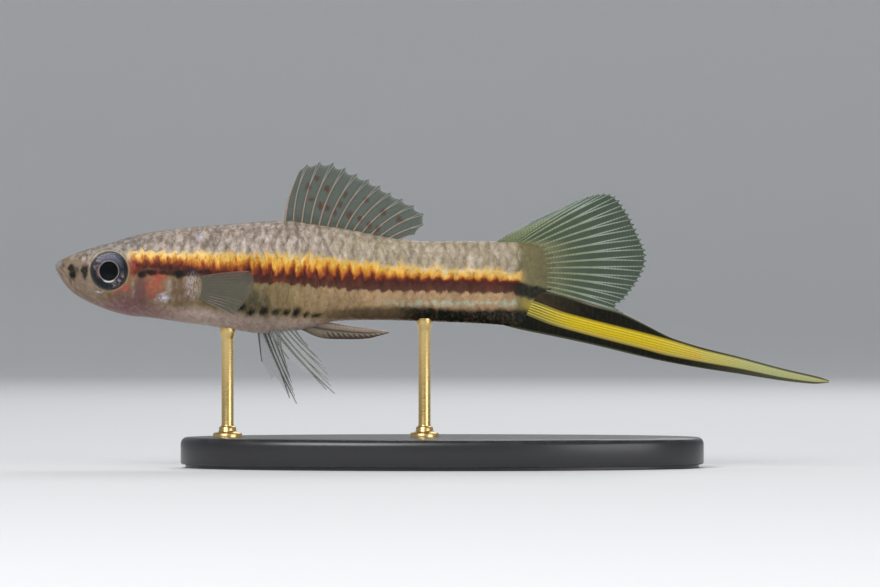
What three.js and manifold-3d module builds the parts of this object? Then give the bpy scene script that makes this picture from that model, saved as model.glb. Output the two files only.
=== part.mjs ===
// A male green swordtail at life size, as a still museum model. It swims level over a flat base, on two thin rods.
// Millimetres, +Z up. The head points along -X, and the fish's left side faces -Y.
// The origin lies on the table, in the middle of the base's underside.
import * as THREE from "three";
import { mergeVertices } from "three/addons/utils/BufferGeometryUtils.js";
import Module from "manifold-3d";

const wasm = await Module();
wasm.setup();

// Driving sizes
const OVERALL_LENGTH = 100.6; // snout to the tip of the sword
const STANDARD_LENGTH = 60; // snout to the end of the backbone
const STALK_END = STANDARD_LENGTH + 2; // the tail stalk's flesh reaches this far into the root of the tail fin
const SNOUT_X = -OVERALL_LENGTH / 2;
const AXIS_Z = 24; // the fish's middle line above the table
const GAP = 0.3; // between neighbouring pieces
const MEMBRANE = 0.5; // thickness of a fin's web
const HEAD_END = 17; // the head is parted from the torso here, behind the gill cover
const TORSO_END = 45; // the torso is parted from the tail stalk here, behind the dorsal fin

// Eyes
const EYE = { s: 7.12, h: 1.55, side: 2.2, radius: 2.48, depth: 1.75 };

// Stand
const BASE = { length: 68, width: 32, height: 4, edge: 0.8 };
const ROD = { radius: 0.8, footRadius: 1.9, footRim: 0.5, footHeight: 1.1, neck: 0.3, intoBody: 2, sides: 20 };
const ROD_STATIONS = { front: 22.4, rear: 48 }; // behind the snout, clear of the pelvic fins and the gonopodium

// Faces of the meshes
const BODY_SIDES = 30;
const RINGS = { head: 26, jaw: 19, torso: 20, stalk: 9, wholeBody: 50, gillCover: 14 };
const EYE_FACES = { around: 18, along: 10 };
const BEYOND = 12; // further out than the fish's side, for cuts right through it

// Materials
const finish = (color, roughness, metalness = 0) =>
  new THREE.MeshStandardMaterial({ color, roughness, metalness });
const SKIN = finish(0xa8998a, 0.4);
const GILL_SKIN = finish(0xa87a72, 0.35);
const EYE_BLACK = finish(0x20262c, 0.1);
const WEB = finish(0x8f9a8a, 0.4);
const SWORD_YELLOW = finish(0xc8a22a, 0.4);
const BLACK_LACQUER = finish(0x16161a, 0.35);
const BRASS = finish(0xb08d4a, 0.3, 1);

// A smooth curve through [distance, value] points. It runs over the square root of the distance, so that a shape
// that starts at 0 closes with a round end there.
function profile(points) {
  const at = points.map(([distance]) => Math.sqrt(distance));
  const value = points.map(([, v]) => v);
  const last = at.length - 1;
  const slope = at.map((_, i) => {
    const before = Math.max(i - 1, 0);
    const after = Math.min(i + 1, last);
    return (value[after] - value[before]) / (at[after] - at[before]);
  });
  return (distance) => {
    const x = Math.min(Math.sqrt(Math.max(distance, 0)), at[last]);
    let i = 0;
    while (i < last - 1 && x > at[i + 1]) i++;
    const span = at[i + 1] - at[i];
    const t = (x - at[i]) / span;
    const rise = t * t * (3 - 2 * t);
    return (
      value[i] * (1 - rise) +
      value[i + 1] * rise +
      span * slope[i] * t * (1 - t) ** 2 -
      span * slope[i + 1] * t * t * (1 - t)
    );
  };
}

// The body, by its distance s behind the snout: heights are from the middle line.
const back = profile([
  [0, 2.2], [0.35, 2.75], [0.85, 3.05], [2.4, 3.75], [4.5, 4.5], [7.1, 5.2], [9.7, 6], [12.3, 6.6],
  [18.8, 7.3], [24, 7.7], [29.9, 8.05], [33.2, 7.65], [37.9, 6.95], [44.2, 5.75], [48.7, 5.4],
  [55.2, 5.4], [60, 5.3], [62, 4.9],
]);
const belly = profile([
  [0, 2.2], [0.35, 1.3], [1.26, -0.2], [2.56, -1.45], [4.5, -2.55], [7.1, -3.6], [9.7, -4.25], [12.3, -4.5],
  [17.5, -5.25], [22.7, -5.95], [26, -6.45], [28.6, -6.4], [33, -5.85], [35.6, -5.05], [38.5, -4.8],
  [43.5, -4.8], [52.6, -5.1], [57.9, -5.4], [60, -5.75], [62, -5.5],
]);
const halfWidth = profile([
  [0, 0], [0.4, 1.3], [1, 1.75], [2.4, 2.4], [4.5, 3.05], [7.1, 3.6], [9.7, 3.95], [12.3, 4.2],
  [16, 4.35], [22, 4.35], [28, 4.05], [35, 3.3], [42, 2.7], [50, 2.2], [56, 1.65], [60, 1.1], [62, 0.75],
]);
const widestLevel = profile([[0, 2.2], [2.4, 1.5], [7.1, 1], [12, 0.6], [20, 0.2], [30, 0.2], [40, 0.4], [62, -0.1]]);
// How square each section is: 2 is an ellipse, and more is flatter with fuller corners.
const squareAbove = profile([[0, 2.2], [2.4, 2.9], [7, 2.8], [12, 2.4], [20, 2.1], [62, 2.05]]);
const squareBelow = profile([[0, 2], [7, 2.2], [20, 2.2], [32, 2], [62, 2.1]]);

const powerOf = (value, power) => Math.sign(value) * Math.abs(value) ** power;

// A point of the body's surface: turn 0 is the fish's right side, a quarter turn its back.
function bodyPoint(s, turn, grow = 0) {
  const level = widestLevel(s);
  const up = Math.sin(turn);
  const reach = up > 0 ? back(s) + grow - level : level - belly(s) + grow;
  const power = 2 / (up > 0 ? squareAbove(s) : squareBelow(s));
  return [
    SNOUT_X + s,
    (halfWidth(s) + grow) * powerOf(Math.cos(turn), power),
    AXIS_Z + level + reach * powerOf(up, power),
  ];
}

// How far the body's side stands from the middle plane at height h above the middle line.
function sideAt(station, h) {
  const s = Math.max(station, 0.01);
  const level = widestLevel(s);
  const above = h > level;
  const reach = above ? back(s) - level : level - belly(s);
  const square = above ? squareAbove(s) : squareBelow(s);
  const share = Math.min(Math.abs(h - level) / reach, 1);
  return halfWidth(s) * (1 - share ** square) ** (1 / square);
}

// An indexed closed surface, turned so that its faces point out.
function surface(positions, index) {
  const geometry = new THREE.BufferGeometry();
  geometry.setAttribute("position", new THREE.Float32BufferAttribute(positions, 3));
  const corner = (i) => new THREE.Vector3(...positions.slice(3 * i, 3 * i + 3));
  let volume = 0;
  for (let i = 0; i < index.length; i += 3)
    volume += corner(index[i]).dot(corner(index[i + 1]).cross(corner(index[i + 2])));
  geometry.setIndex(volume < 0 ? index.toReversed() : index);
  return geometry;
}

function solid(geometry) {
  const bare = geometry.clone();
  for (const name of ["normal", "uv"]) bare.deleteAttribute(name);
  const merged = mergeVertices(bare, 1e-4);
  const mesh = new wasm.Mesh({
    numProp: 3,
    vertProperties: merged.attributes.position.array,
    triVerts: new Uint32Array(merged.index.array),
  });
  return new wasm.Manifold(mesh);
}

// The largest closed surface of a cut or joined solid, without slivers shorter than the tolerance.
const SLIVER = 0.02;
function largest(pieces) {
  const whole = pieces.decompose().reduce((best, one) => (one.volume() > best.volume() ? one : best));
  return whole.asOriginal().setTolerance(SLIVER);
}

// Rings joined into a closed tube, with flat ends.
function tube(rings) {
  const sides = rings[0].length;
  const positions = rings.flat(2);
  const index = [];
  for (let r = 0; r < rings.length - 1; r++)
    for (let k = 0; k < sides; k++) {
      const a = r * sides + k;
      const b = r * sides + ((k + 1) % sides);
      index.push(a, b, a + sides, b, b + sides, a + sides);
    }
  const end = (rings.length - 1) * sides;
  for (let k = 1; k < sides - 1; k++) index.push(0, k + 1, k, end, end + k, end + k + 1);
  return surface(positions, index);
}

// A length of the body from one station to another, grown by a margin. Its rings crowd towards the snout,
// and the first one closes the snout's tip with a tiny flat.
const SNOUT_FLAT = 0.004;
function bodySolid(from, to, rings, grow = 0) {
  const first = Math.sqrt(from);
  const last = Math.sqrt(to);
  const made = [];
  for (let r = 0; r <= rings; r++) {
    const s = Math.max((first + ((last - first) * r) / rings) ** 2, SNOUT_FLAT);
    made.push(
      Array.from({ length: BODY_SIDES }, (_, k) => bodyPoint(s, (2 * Math.PI * (k + 0.5)) / BODY_SIDES, grow)),
    );
  }
  return solid(tube(made));
}

// A prism across the fish, from a side-view outline of [s, h] corners.
function sidePrism(corners, from, to) {
  const outline = new THREE.Shape(corners.map(([s, h]) => new THREE.Vector2(s, h)));
  const geometry = new THREE.ExtrudeGeometry(outline, { depth: to - from, bevelEnabled: false });
  geometry.rotateX(Math.PI / 2);
  geometry.translate(SNOUT_X, to, AXIS_Z);
  return solid(geometry);
}

function ellipsoid(centre, radii, around, along) {
  const geometry = new THREE.SphereGeometry(1, around, along);
  geometry.scale(...radii);
  geometry.translate(...centre);
  return solid(geometry);
}

const curve = (points) => new THREE.SplineCurve(points.map(([s, h]) => new THREE.Vector2(s, h)));

// A fin: rays are ridges on a thin web, and both faces have the same triangles.
// spine(u, v) gives the side-view point [s, h] at u from root to tip, on the ray or web line at v of the way across,
// outward(s, h) the distance from the middle plane, and half(u, v, isRay) half the thickness there.
function finSolid({ rays, steps, spine, outward, half, normal = [0, 1, 0], notch = 0 }) {
  const columns = 2 * rays - 1;
  const rows = steps + 1;
  const positions = [];
  for (const face of [1, -1])
    for (let k = 0; k < columns; k++)
      for (let i = 0; i < rows; i++) {
        const isRay = k % 2 === 0;
        const v = k / (columns - 1);
        const u = (i / steps) * (isRay ? 1 : 1 - notch);
        const [s, h] = spine(u, v);
        const off = face * half(i / steps, v, isRay);
        positions.push(
          SNOUT_X + s + off * normal[0],
          outward(s, h) + off * normal[1],
          AXIS_Z + h + off * normal[2],
        );
      }
  const at = (face, k, i) => face * columns * rows + k * rows + i;
  const index = [];
  for (let k = 0; k < columns - 1; k++)
    for (let i = 0; i < steps; i++) {
      const [a, b, c, d] = [at(0, k, i), at(0, k + 1, i), at(0, k, i + 1), at(0, k + 1, i + 1)];
      const [e, f, g, j] = [at(1, k, i), at(1, k + 1, i), at(1, k, i + 1), at(1, k + 1, i + 1)];
      index.push(a, b, c, b, d, c, e, g, f, f, g, j);
    }
  const rim = [];
  for (let k = 0; k < columns - 1; k++) rim.push([k, 0]);
  for (let i = 0; i < steps; i++) rim.push([columns - 1, i]);
  for (let k = columns - 1; k > 0; k--) rim.push([k, steps]);
  for (let i = steps; i > 0; i--) rim.push([0, i]);
  rim.forEach(([k, i], n) => {
    const [nextK, nextI] = rim[(n + 1) % rim.length];
    const [a, b] = [at(0, k, i), at(0, nextK, nextI)];
    const [c, d] = [at(1, k, i), at(1, nextK, nextI)];
    index.push(a, c, b, b, c, d);
  });
  return solid(surface(positions, index));
}

// Rays that fan from a root curve to a tip curve, each bowed forward by a share of its length.
function fan(roots, tips, bow) {
  const root = curve(roots);
  const tip = curve(tips);
  return (u, v) => {
    const a = root.getPointAt(v);
    const b = tip.getPointAt(v);
    const chord = b.clone().sub(a);
    const lift = 4 * bow * u * (1 - u);
    return [a.x + chord.x * u - chord.y * lift, a.y + chord.y * u + chord.x * lift];
  };
}

// Rays that run side by side between a lower and an upper edge.
function blade(lower, upper, from, to) {
  const low = profile(lower);
  const high = profile(upper);
  return (u, v) => {
    const s = from + (to - from) * u;
    return [s, low(s) + (high(s) - low(s)) * v];
  };
}

// Half the thickness of a fin that is thick at its root: the rays stand proud of the web and fade towards the tip.
const taper = (root, ridge) => (u, v, isRay) =>
  MEMBRANE / 2 + (root - MEMBRANE / 2) * (1 - u) ** 3 + (isRay ? ridge * (1 - 0.6 * u) : 0);

// The whole body with the gap that every fin, rod and eye keeps from it
const bodyWithGap = bodySolid(0, STALK_END + GAP, RINGS.wholeBody, GAP);
const rootedOnBody = (fin) => largest(fin.subtract(bodyWithGap));

// Head, with its mouth line, lips, nostrils, eye sockets and gill covers
const MOUTH_CORNER = [1.55, 0.8];
const MOUTH_FRONT = [0.1, 2.5];
const JAW_OUTLINE = [[-1, 3.83], MOUTH_CORNER, [2.3, -0.55], [5.4, -2.5], [6.6, -4.6], [-1, -4.6]];
const JAW_STEP = 0.22; // the head is cut this far back and up from the jaw, which leaves the gap between them
const LIP = { radius: 0.28, cornerThinning: 0.4, above: 0.34, below: -0.3, steps: 20, sides: 6 };
const MOUTH_HALF_WIDTH = 1.5;
const NOSTRILS = [[3.35, 3.25, 0.34], [4.25, 3.6, 0.28]]; // s, h and radius

// One lip: a thick cord that follows the mouth line from one corner across the front to the other.
function lip(shift) {
  const rings = [];
  for (let i = 0; i <= LIP.steps; i++) {
    const across = (2 * i) / LIP.steps - 1;
    const towardsCorner = Math.abs(across) ** 2;
    const onLine = (axis) => MOUTH_FRONT[axis] + (MOUTH_CORNER[axis] - MOUTH_FRONT[axis]) * towardsCorner;
    const s = Math.max(onLine(0) + shift, 0) + LIP.radius;
    const h = onLine(1) + shift;
    const y = MOUTH_HALF_WIDTH * Math.sin((Math.PI / 2) * across);
    const radius = LIP.radius * (1 - LIP.cornerThinning * Math.abs(across));
    const heading = Math.atan2(2 * across, 1);
    rings.push(
      Array.from({ length: LIP.sides }, (_, k) => {
        const turn = (2 * Math.PI * k) / LIP.sides;
        const off = radius * Math.cos(turn);
        return [
          SNOUT_X + s - off * Math.cos(heading),
          y + off * Math.sin(heading),
          AXIS_Z + h + radius * Math.sin(turn),
        ];
      }),
    );
  }
  return solid(tube(rings));
}

const GILL_OUTLINE = [
  [10.75, 1.2], [13.3, 1.8], [15.1, 1.1], [15.6, -0.5], [15.2, -2.2], [14.1, -3.4], [12.4, -3.9], [10.9, -3.2],
  [10.2, -1.1],
];
const GILL = { thickness: 0.7, proud: 0.12, from: 6, to: 20 };

function grownOutline(corners, margin) {
  const middle = corners.reduce(([a, b], [s, h]) => [a + s / corners.length, b + h / corners.length], [0, 0]);
  return corners.map(([s, h]) => {
    const [ds, dh] = [s - middle[0], h - middle[1]];
    const share = 1 + margin / Math.hypot(ds, dh);
    return [middle[0] + ds * share, middle[1] + dh * share];
  });
}

function gillShell(side, margin) {
  const outer = bodySolid(GILL.from, GILL.to, RINGS.gillCover, GILL.proud + margin);
  const inner = bodySolid(GILL.from - 1, GILL.to + 1, RINGS.gillCover, GILL.proud - GILL.thickness - margin);
  const outline = new THREE.SplineCurve(
    grownOutline([...GILL_OUTLINE, GILL_OUTLINE[0]], margin).map(([s, h]) => new THREE.Vector2(s, h)),
  );
  const rounded = outline.getPoints(3 * GILL_OUTLINE.length).slice(0, -1).map((p) => [p.x, p.y]);
  const half = side > 0 ? sidePrism(rounded, GAP, BEYOND) : sidePrism(rounded, -BEYOND, -GAP);
  return largest(outer.subtract(inner).intersect(half));
}

const eyeBall = (side, margin) =>
  ellipsoid(
    [SNOUT_X + EYE.s, side * EYE.side, AXIS_Z + EYE.h],
    [EYE.radius + margin, EYE.depth + margin, EYE.radius + margin],
    EYE_FACES.around,
    EYE_FACES.along,
  );

const jawPrism = (step) =>
  sidePrism(JAW_OUTLINE.map(([s, h]) => [s + step, h + step]), -BEYOND, BEYOND);

function head() {
  let made = bodySolid(0, HEAD_END, RINGS.head).add(lip(LIP.above)).subtract(jawPrism(JAW_STEP));
  for (const side of [1, -1]) {
    made = made.subtract(eyeBall(side, GAP)).subtract(gillShell(side, GAP));
    for (const [s, h, radius] of NOSTRILS) {
      const centre = [SNOUT_X + s, side * sideAt(s, h), AXIS_Z + h];
      made = made.subtract(ellipsoid(centre, [radius, radius, radius], 8, 6));
    }
  }
  return largest(made);
}

const JAW_REACH = 9; // further back than the jaw's own outline
const lowerJaw = () => largest(bodySolid(0, JAW_REACH, RINGS.jaw).add(lip(LIP.below)).intersect(jawPrism(0)));

// Fins. Their outlines are side views in [s, h].
const dorsalFin = () =>
  rootedOnBody(
    finSolid({
      rays: 13,
      steps: 7,
      notch: 0.05,
      spine: fan(
        [[29.9, 7.2], [33.2, 6.9], [37.9, 6.2], [43.6, 5]],
        [
          [31.7, 14.5], [32.5, 15.5], [35.6, 15.9], [39.6, 14.2], [44.7, 11.3], [47.7, 9.4], [48.3, 8.1],
          [46.8, 6.3],
        ],
        0.06,
      ),
      outward: () => 0,
      half: taper(0.65, 0.16),
    }),
  );

const sword = () =>
  rootedOnBody(
    finSolid({
      rays: 7,
      steps: 22,
      spine: blade(
        [
          [60.5, -5.9], [65.9, -7.1], [69.9, -8.15], [73.9, -8.95], [77.3, -9.95], [86.7, -11.55], [94.6, -12.65],
          [98.7, -13.1], [100.6, -12.95],
        ],
        [
          [60.5, -0.5], [65.6, -1.5], [69.9, -2.9], [73.2, -3.75], [75.4, -4.85], [77.8, -6.1], [82.6, -7.75],
          [88, -9.3], [94.6, -11.25], [99.3, -12.2], [100.6, -12.65],
        ],
        60.5,
        OVERALL_LENGTH,
      ),
      outward: () => 0,
      half: taper(0.7, 0.14),
    }),
  );

// The fan of the tail fin, above the sword. Its rays start on top of the tail stalk and go round its end.
const tailFin = () =>
  rootedOnBody(
    finSolid({
      rays: 18,
      steps: 8,
      notch: 0.03,
      spine: fan(
        [[58, 5], [60, 4.7], [60.6, 2.7], [60.7, 0.2]],
        [
          [62.4, 8.1], [66.4, 9.95], [68.9, 11.1], [71.7, 11.7], [73.3, 10.9], [74.8, 8.7], [76.6, 4.95],
          [77, 3], [76.5, 1.2], [74.3, -2], [72.8, -3.1],
        ],
        0.015,
      ),
      outward: () => 0,
      half: taper(0.7, 0.14),
    }),
  );

// The gonopodium is the male's anal fin, a narrow rod that lies back along the belly.
const GONOPODIUM_HALF = { root: 0.55, tip: 0.3, ridge: 0.12 };
const gonopodium = () =>
  rootedOnBody(
    finSolid({
      rays: 4,
      steps: 9,
      spine: blade(
        [[32.6, -6.1], [34.4, -7.1], [37.5, -7.3], [40.7, -7.2], [42.7, -6.7], [43.4, -6.5]],
        [[32.6, -4.9], [34.7, -5], [38.8, -5.65], [41.4, -6], [43.4, -6.3]],
        32.6,
        43.4,
      ),
      outward: () => 0,
      half: (u, v, isRay) =>
        GONOPODIUM_HALF.root +
        (GONOPODIUM_HALF.tip - GONOPODIUM_HALF.root) * u +
        (isRay ? GONOPODIUM_HALF.ridge : 0),
    }),
  );

// Pelvic fins: the second ray of each is drawn out far past the others.
const PELVIC_ROOT_SIDE = 1;
const PELVIC_SPREAD = 0.34; // sideways travel for each millimetre below the root
const PELVIC_ROOT_H = -5.6;
const pelvicFin = (side, roots, tips) =>
  rootedOnBody(
    finSolid({
      rays: tips.length,
      steps: 8,
      notch: 0.22,
      spine: (u, v) => {
        const place = v * (tips.length - 1);
        const i = Math.min(Math.floor(place), tips.length - 2);
        const part = place - i;
        const mix = (a, b) => a + (b - a) * part;
        const rootS = roots[0] + (roots[1] - roots[0]) * v;
        const tipS = mix(tips[i][0], tips[i + 1][0]);
        const tipH = mix(tips[i][1], tips[i + 1][1]);
        return [rootS + (tipS - rootS) * u ** 1.1, PELVIC_ROOT_H + (tipH - PELVIC_ROOT_H) * u];
      },
      outward: (s, h) => side * (PELVIC_ROOT_SIDE + PELVIC_SPREAD * (PELVIC_ROOT_H - h)),
      half: taper(0.4, 0.13),
      normal: [0, Math.cos(Math.atan(PELVIC_SPREAD)), side * Math.sin(Math.atan(PELVIC_SPREAD))],
    }),
  );
const LEFT_PELVIC = {
  roots: [27.6, 30.9],
  tips: [[31.3, -10.9], [37, -15.1], [36.1, -13.3], [35.6, -11.6], [34.7, -10.1], [33.5, -8.8]],
};
const RIGHT_PELVIC = {
  roots: [26.3, 29],
  tips: [[26.9, -11.4], [31.6, -16.6], [31.1, -14.8], [30.7, -12.9], [30.1, -11], [29.5, -9.4]],
};

// Pectoral fins: fans that stand out from the flank.
const PECTORAL_ROOT = [18.7, -0.7];
const PECTORAL_SUNK = 0.35; // how deep the root's middle lies in the flank
const PECTORAL_ANGLE = THREE.MathUtils.degToRad(40);
const pectoralSide = (s) =>
  sideAt(...PECTORAL_ROOT) - PECTORAL_SUNK + (s - PECTORAL_ROOT[0]) * Math.tan(PECTORAL_ANGLE);
const pectoralFin = (side) =>
  rootedOnBody(
    finSolid({
      rays: 11,
      steps: 6,
      notch: 0.05,
      spine: fan(
        [[18.6, 0.7], [18.5, -0.7], [18.9, -2.1]],
        [[25.6, 1.5], [26.2, 0.6], [26, -0.9], [24.9, -2.6], [23.5, -4.2]],
        0.02,
      ),
      outward: (s) => side * pectoralSide(s),
      half: taper(0.45, 0.12),
      normal: [-side * Math.sin(PECTORAL_ANGLE), Math.cos(PECTORAL_ANGLE), 0],
    }),
  );

// Stand: a flat oval base, and two rods with round feet whose tops follow the belly
function standBase() {
  const outline = new THREE.Shape();
  outline.absellipse(0, 0, BASE.length / 2 - BASE.edge, BASE.width / 2 - BASE.edge, 0, 2 * Math.PI, false);
  const geometry = new THREE.ExtrudeGeometry(outline, {
    depth: BASE.height - BASE.edge,
    bevelEnabled: true,
    bevelThickness: BASE.edge,
    bevelSize: BASE.edge,
    bevelSegments: 2,
    curveSegments: 24,
  });
  const underside = new THREE.BoxGeometry(2 * BASE.length, 2 * BASE.width, BASE.height);
  underside.translate(0, 0, -BASE.height / 2);
  return solid(geometry).subtract(solid(underside));
}

function standRod(station) {
  const foot = BASE.height + GAP;
  const neck = foot + ROD.footHeight;
  const top = AXIS_Z + belly(station) + ROD.intoBody;
  const outline = [
    [0, foot], [ROD.footRadius, foot], [ROD.footRadius, foot + ROD.footRim], [ROD.radius + ROD.neck, neck],
    [ROD.radius, neck + ROD.neck], [ROD.radius, top], [0, top],
  ];
  const geometry = new THREE.LatheGeometry(outline.map(([r, z]) => new THREE.Vector2(r, z)), ROD.sides);
  geometry.rotateX(Math.PI / 2);
  geometry.translate(SNOUT_X + station, 0, 0);
  const pieces = solid(geometry).subtract(bodyWithGap).decompose();
  const lowest = (piece) => piece.boundingBox().min[2];
  return pieces.reduce((a, b) => (lowest(a) < lowest(b) ? a : b));
}

const fish = new THREE.Group();

function addNode(name, made, material) {
  const { numProp, numVert, vertProperties, triVerts } = made.getMesh();
  const positions = new Float32Array(numVert * 3);
  for (let i = 0; i < numVert; i++) positions.set(vertProperties.subarray(i * numProp, i * numProp + 3), i * 3);
  const geometry = new THREE.BufferGeometry();
  geometry.setAttribute("position", new THREE.BufferAttribute(positions, 3));
  geometry.setIndex(new THREE.BufferAttribute(triVerts, 1));
  const mesh = new THREE.Mesh(geometry, material);
  mesh.name = name;
  fish.add(mesh);
}

addNode("head", head(), SKIN);
addNode("lower_jaw", lowerJaw(), SKIN);
addNode("torso", bodySolid(HEAD_END + GAP, TORSO_END, RINGS.torso), SKIN);
addNode("tail_stalk", bodySolid(TORSO_END + GAP, STALK_END, RINGS.stalk), SKIN);
addNode("dorsal_fin", dorsalFin(), WEB);
addNode("tail_fin", tailFin(), WEB);
addNode("sword", sword(), SWORD_YELLOW);
addNode("gonopodium", gonopodium(), WEB);
addNode("pelvic_fin_left", pelvicFin(-1, LEFT_PELVIC.roots, LEFT_PELVIC.tips), WEB);
addNode("pelvic_fin_right", pelvicFin(1, RIGHT_PELVIC.roots, RIGHT_PELVIC.tips), WEB);
for (const [name, side] of [["left", -1], ["right", 1]]) {
  addNode("eye_" + name, eyeBall(side, 0), EYE_BLACK);
  addNode("gill_cover_" + name, gillShell(side, 0), GILL_SKIN);
  addNode("pectoral_fin_" + name, pectoralFin(side), WEB);
}
addNode("stand_base", standBase(), BLACK_LACQUER);
for (const [name, station] of Object.entries(ROD_STATIONS)) addNode("stand_rod_" + name, standRod(station), BRASS);

export default fish;
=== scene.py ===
# The looks of a still, life-size male green swordtail on a plain display stand.
# Fish places are s, y and h in millimetres: s runs back from the snout's tip, y to the fish's right side,
# and h up from its middle line. Blender's own units are metres.
import math

import bpy
import numpy as np
from bpy.props import FloatProperty, FloatVectorProperty, IntProperty, PointerProperty
from bpy.types import Operator, Panel, PropertyGroup
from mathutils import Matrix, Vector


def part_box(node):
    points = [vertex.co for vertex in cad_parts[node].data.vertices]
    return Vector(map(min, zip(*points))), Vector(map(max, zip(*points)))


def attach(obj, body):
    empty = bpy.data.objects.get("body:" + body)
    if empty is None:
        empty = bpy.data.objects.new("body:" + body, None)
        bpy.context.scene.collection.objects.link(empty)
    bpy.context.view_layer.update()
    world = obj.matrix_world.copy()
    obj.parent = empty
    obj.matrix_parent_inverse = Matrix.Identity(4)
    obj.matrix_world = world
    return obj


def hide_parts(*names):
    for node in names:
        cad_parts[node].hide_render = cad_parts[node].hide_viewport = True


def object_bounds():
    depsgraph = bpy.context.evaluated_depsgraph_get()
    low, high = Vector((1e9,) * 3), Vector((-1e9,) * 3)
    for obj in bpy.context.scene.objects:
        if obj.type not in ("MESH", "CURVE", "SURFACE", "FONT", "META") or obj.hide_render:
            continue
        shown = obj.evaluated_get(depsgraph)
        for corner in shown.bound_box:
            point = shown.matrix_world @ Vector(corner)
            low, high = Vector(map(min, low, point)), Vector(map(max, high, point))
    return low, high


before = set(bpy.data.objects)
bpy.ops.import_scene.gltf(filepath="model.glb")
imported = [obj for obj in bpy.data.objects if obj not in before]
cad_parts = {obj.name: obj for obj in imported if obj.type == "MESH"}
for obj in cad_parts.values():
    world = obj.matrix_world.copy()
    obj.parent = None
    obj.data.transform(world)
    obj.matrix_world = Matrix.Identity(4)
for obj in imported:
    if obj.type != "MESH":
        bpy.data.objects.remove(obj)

bl_info = {
    "name": "Male swordtail model",
    "version": (1, 0, 0),
    "blender": (4, 5, 0),
    "location": "3D View > Sidebar > Swordtail",
    "description": "Builds a still, life-size male green swordtail on a plain display stand",
    "category": "Add Mesh",
}

MM = 0.001
CAD_LOW, CAD_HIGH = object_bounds()
OVERALL_LENGTH = (CAD_HIGH.x - CAD_LOW.x) / MM
SNOUT_X = CAD_LOW.x / MM
BASE_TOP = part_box("stand_base")[1].z / MM
SWIM_HEIGHT = 20  # the fish's middle line above the base
AXIS_Z = BASE_TOP + SWIM_HEIGHT
SIDES = {"left": -1, "right": 1}
PITCH = 1.46  # from one scale to the next, which is also the rhythm of the stripe's flames
PHOTO_WIDTH = 880
PHOTO_SCALE = 0.13  # millimetres for one pixel of the photograph
PHOTO_CENTRE = (440, 293.5)
PHOTO_SNOUT = (55.3, 283)  # the pixel of s = 0, h = 0


# Settings that a user would change


def length(name, description, millimetres):
    return FloatProperty(
        name=name, description=description, default=millimetres * MM, min=0, unit="LENGTH", precision=5
    )


def colour(name, description, red, green, blue):
    return FloatVectorProperty(
        name=name, description=description, default=(red, green, blue), size=3, min=0, max=1, subtype="COLOR"
    )


class SwordtailSizes(PropertyGroup):
    scale_pitch: length("Scale pitch", "Distance from one scale to the next along a row", PITCH)
    scale_lift: length("Scale lift", "How far a scale's rear edge stands out from the skin", 0.07)
    scale_rows: IntProperty(
        name="Scale rows", description="Rows of scales on each side", default=9, min=4, max=14
    )
    eye_radius: length("Eye radius", "Radius of the whole visible eye", 2.46)
    pupil_radius: length("Pupil radius", "Radius of the black pupil", 1.27)
    web_half: length("Web half thickness", "Half the thickness of a fin's web", 0.035)
    ray_radius: length("Ray radius", "Radius of a fin ray at its root", 0.11)
    joint_pitch: length("Joint pitch", "Distance between the joints of a fin ray", 0.42)


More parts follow.
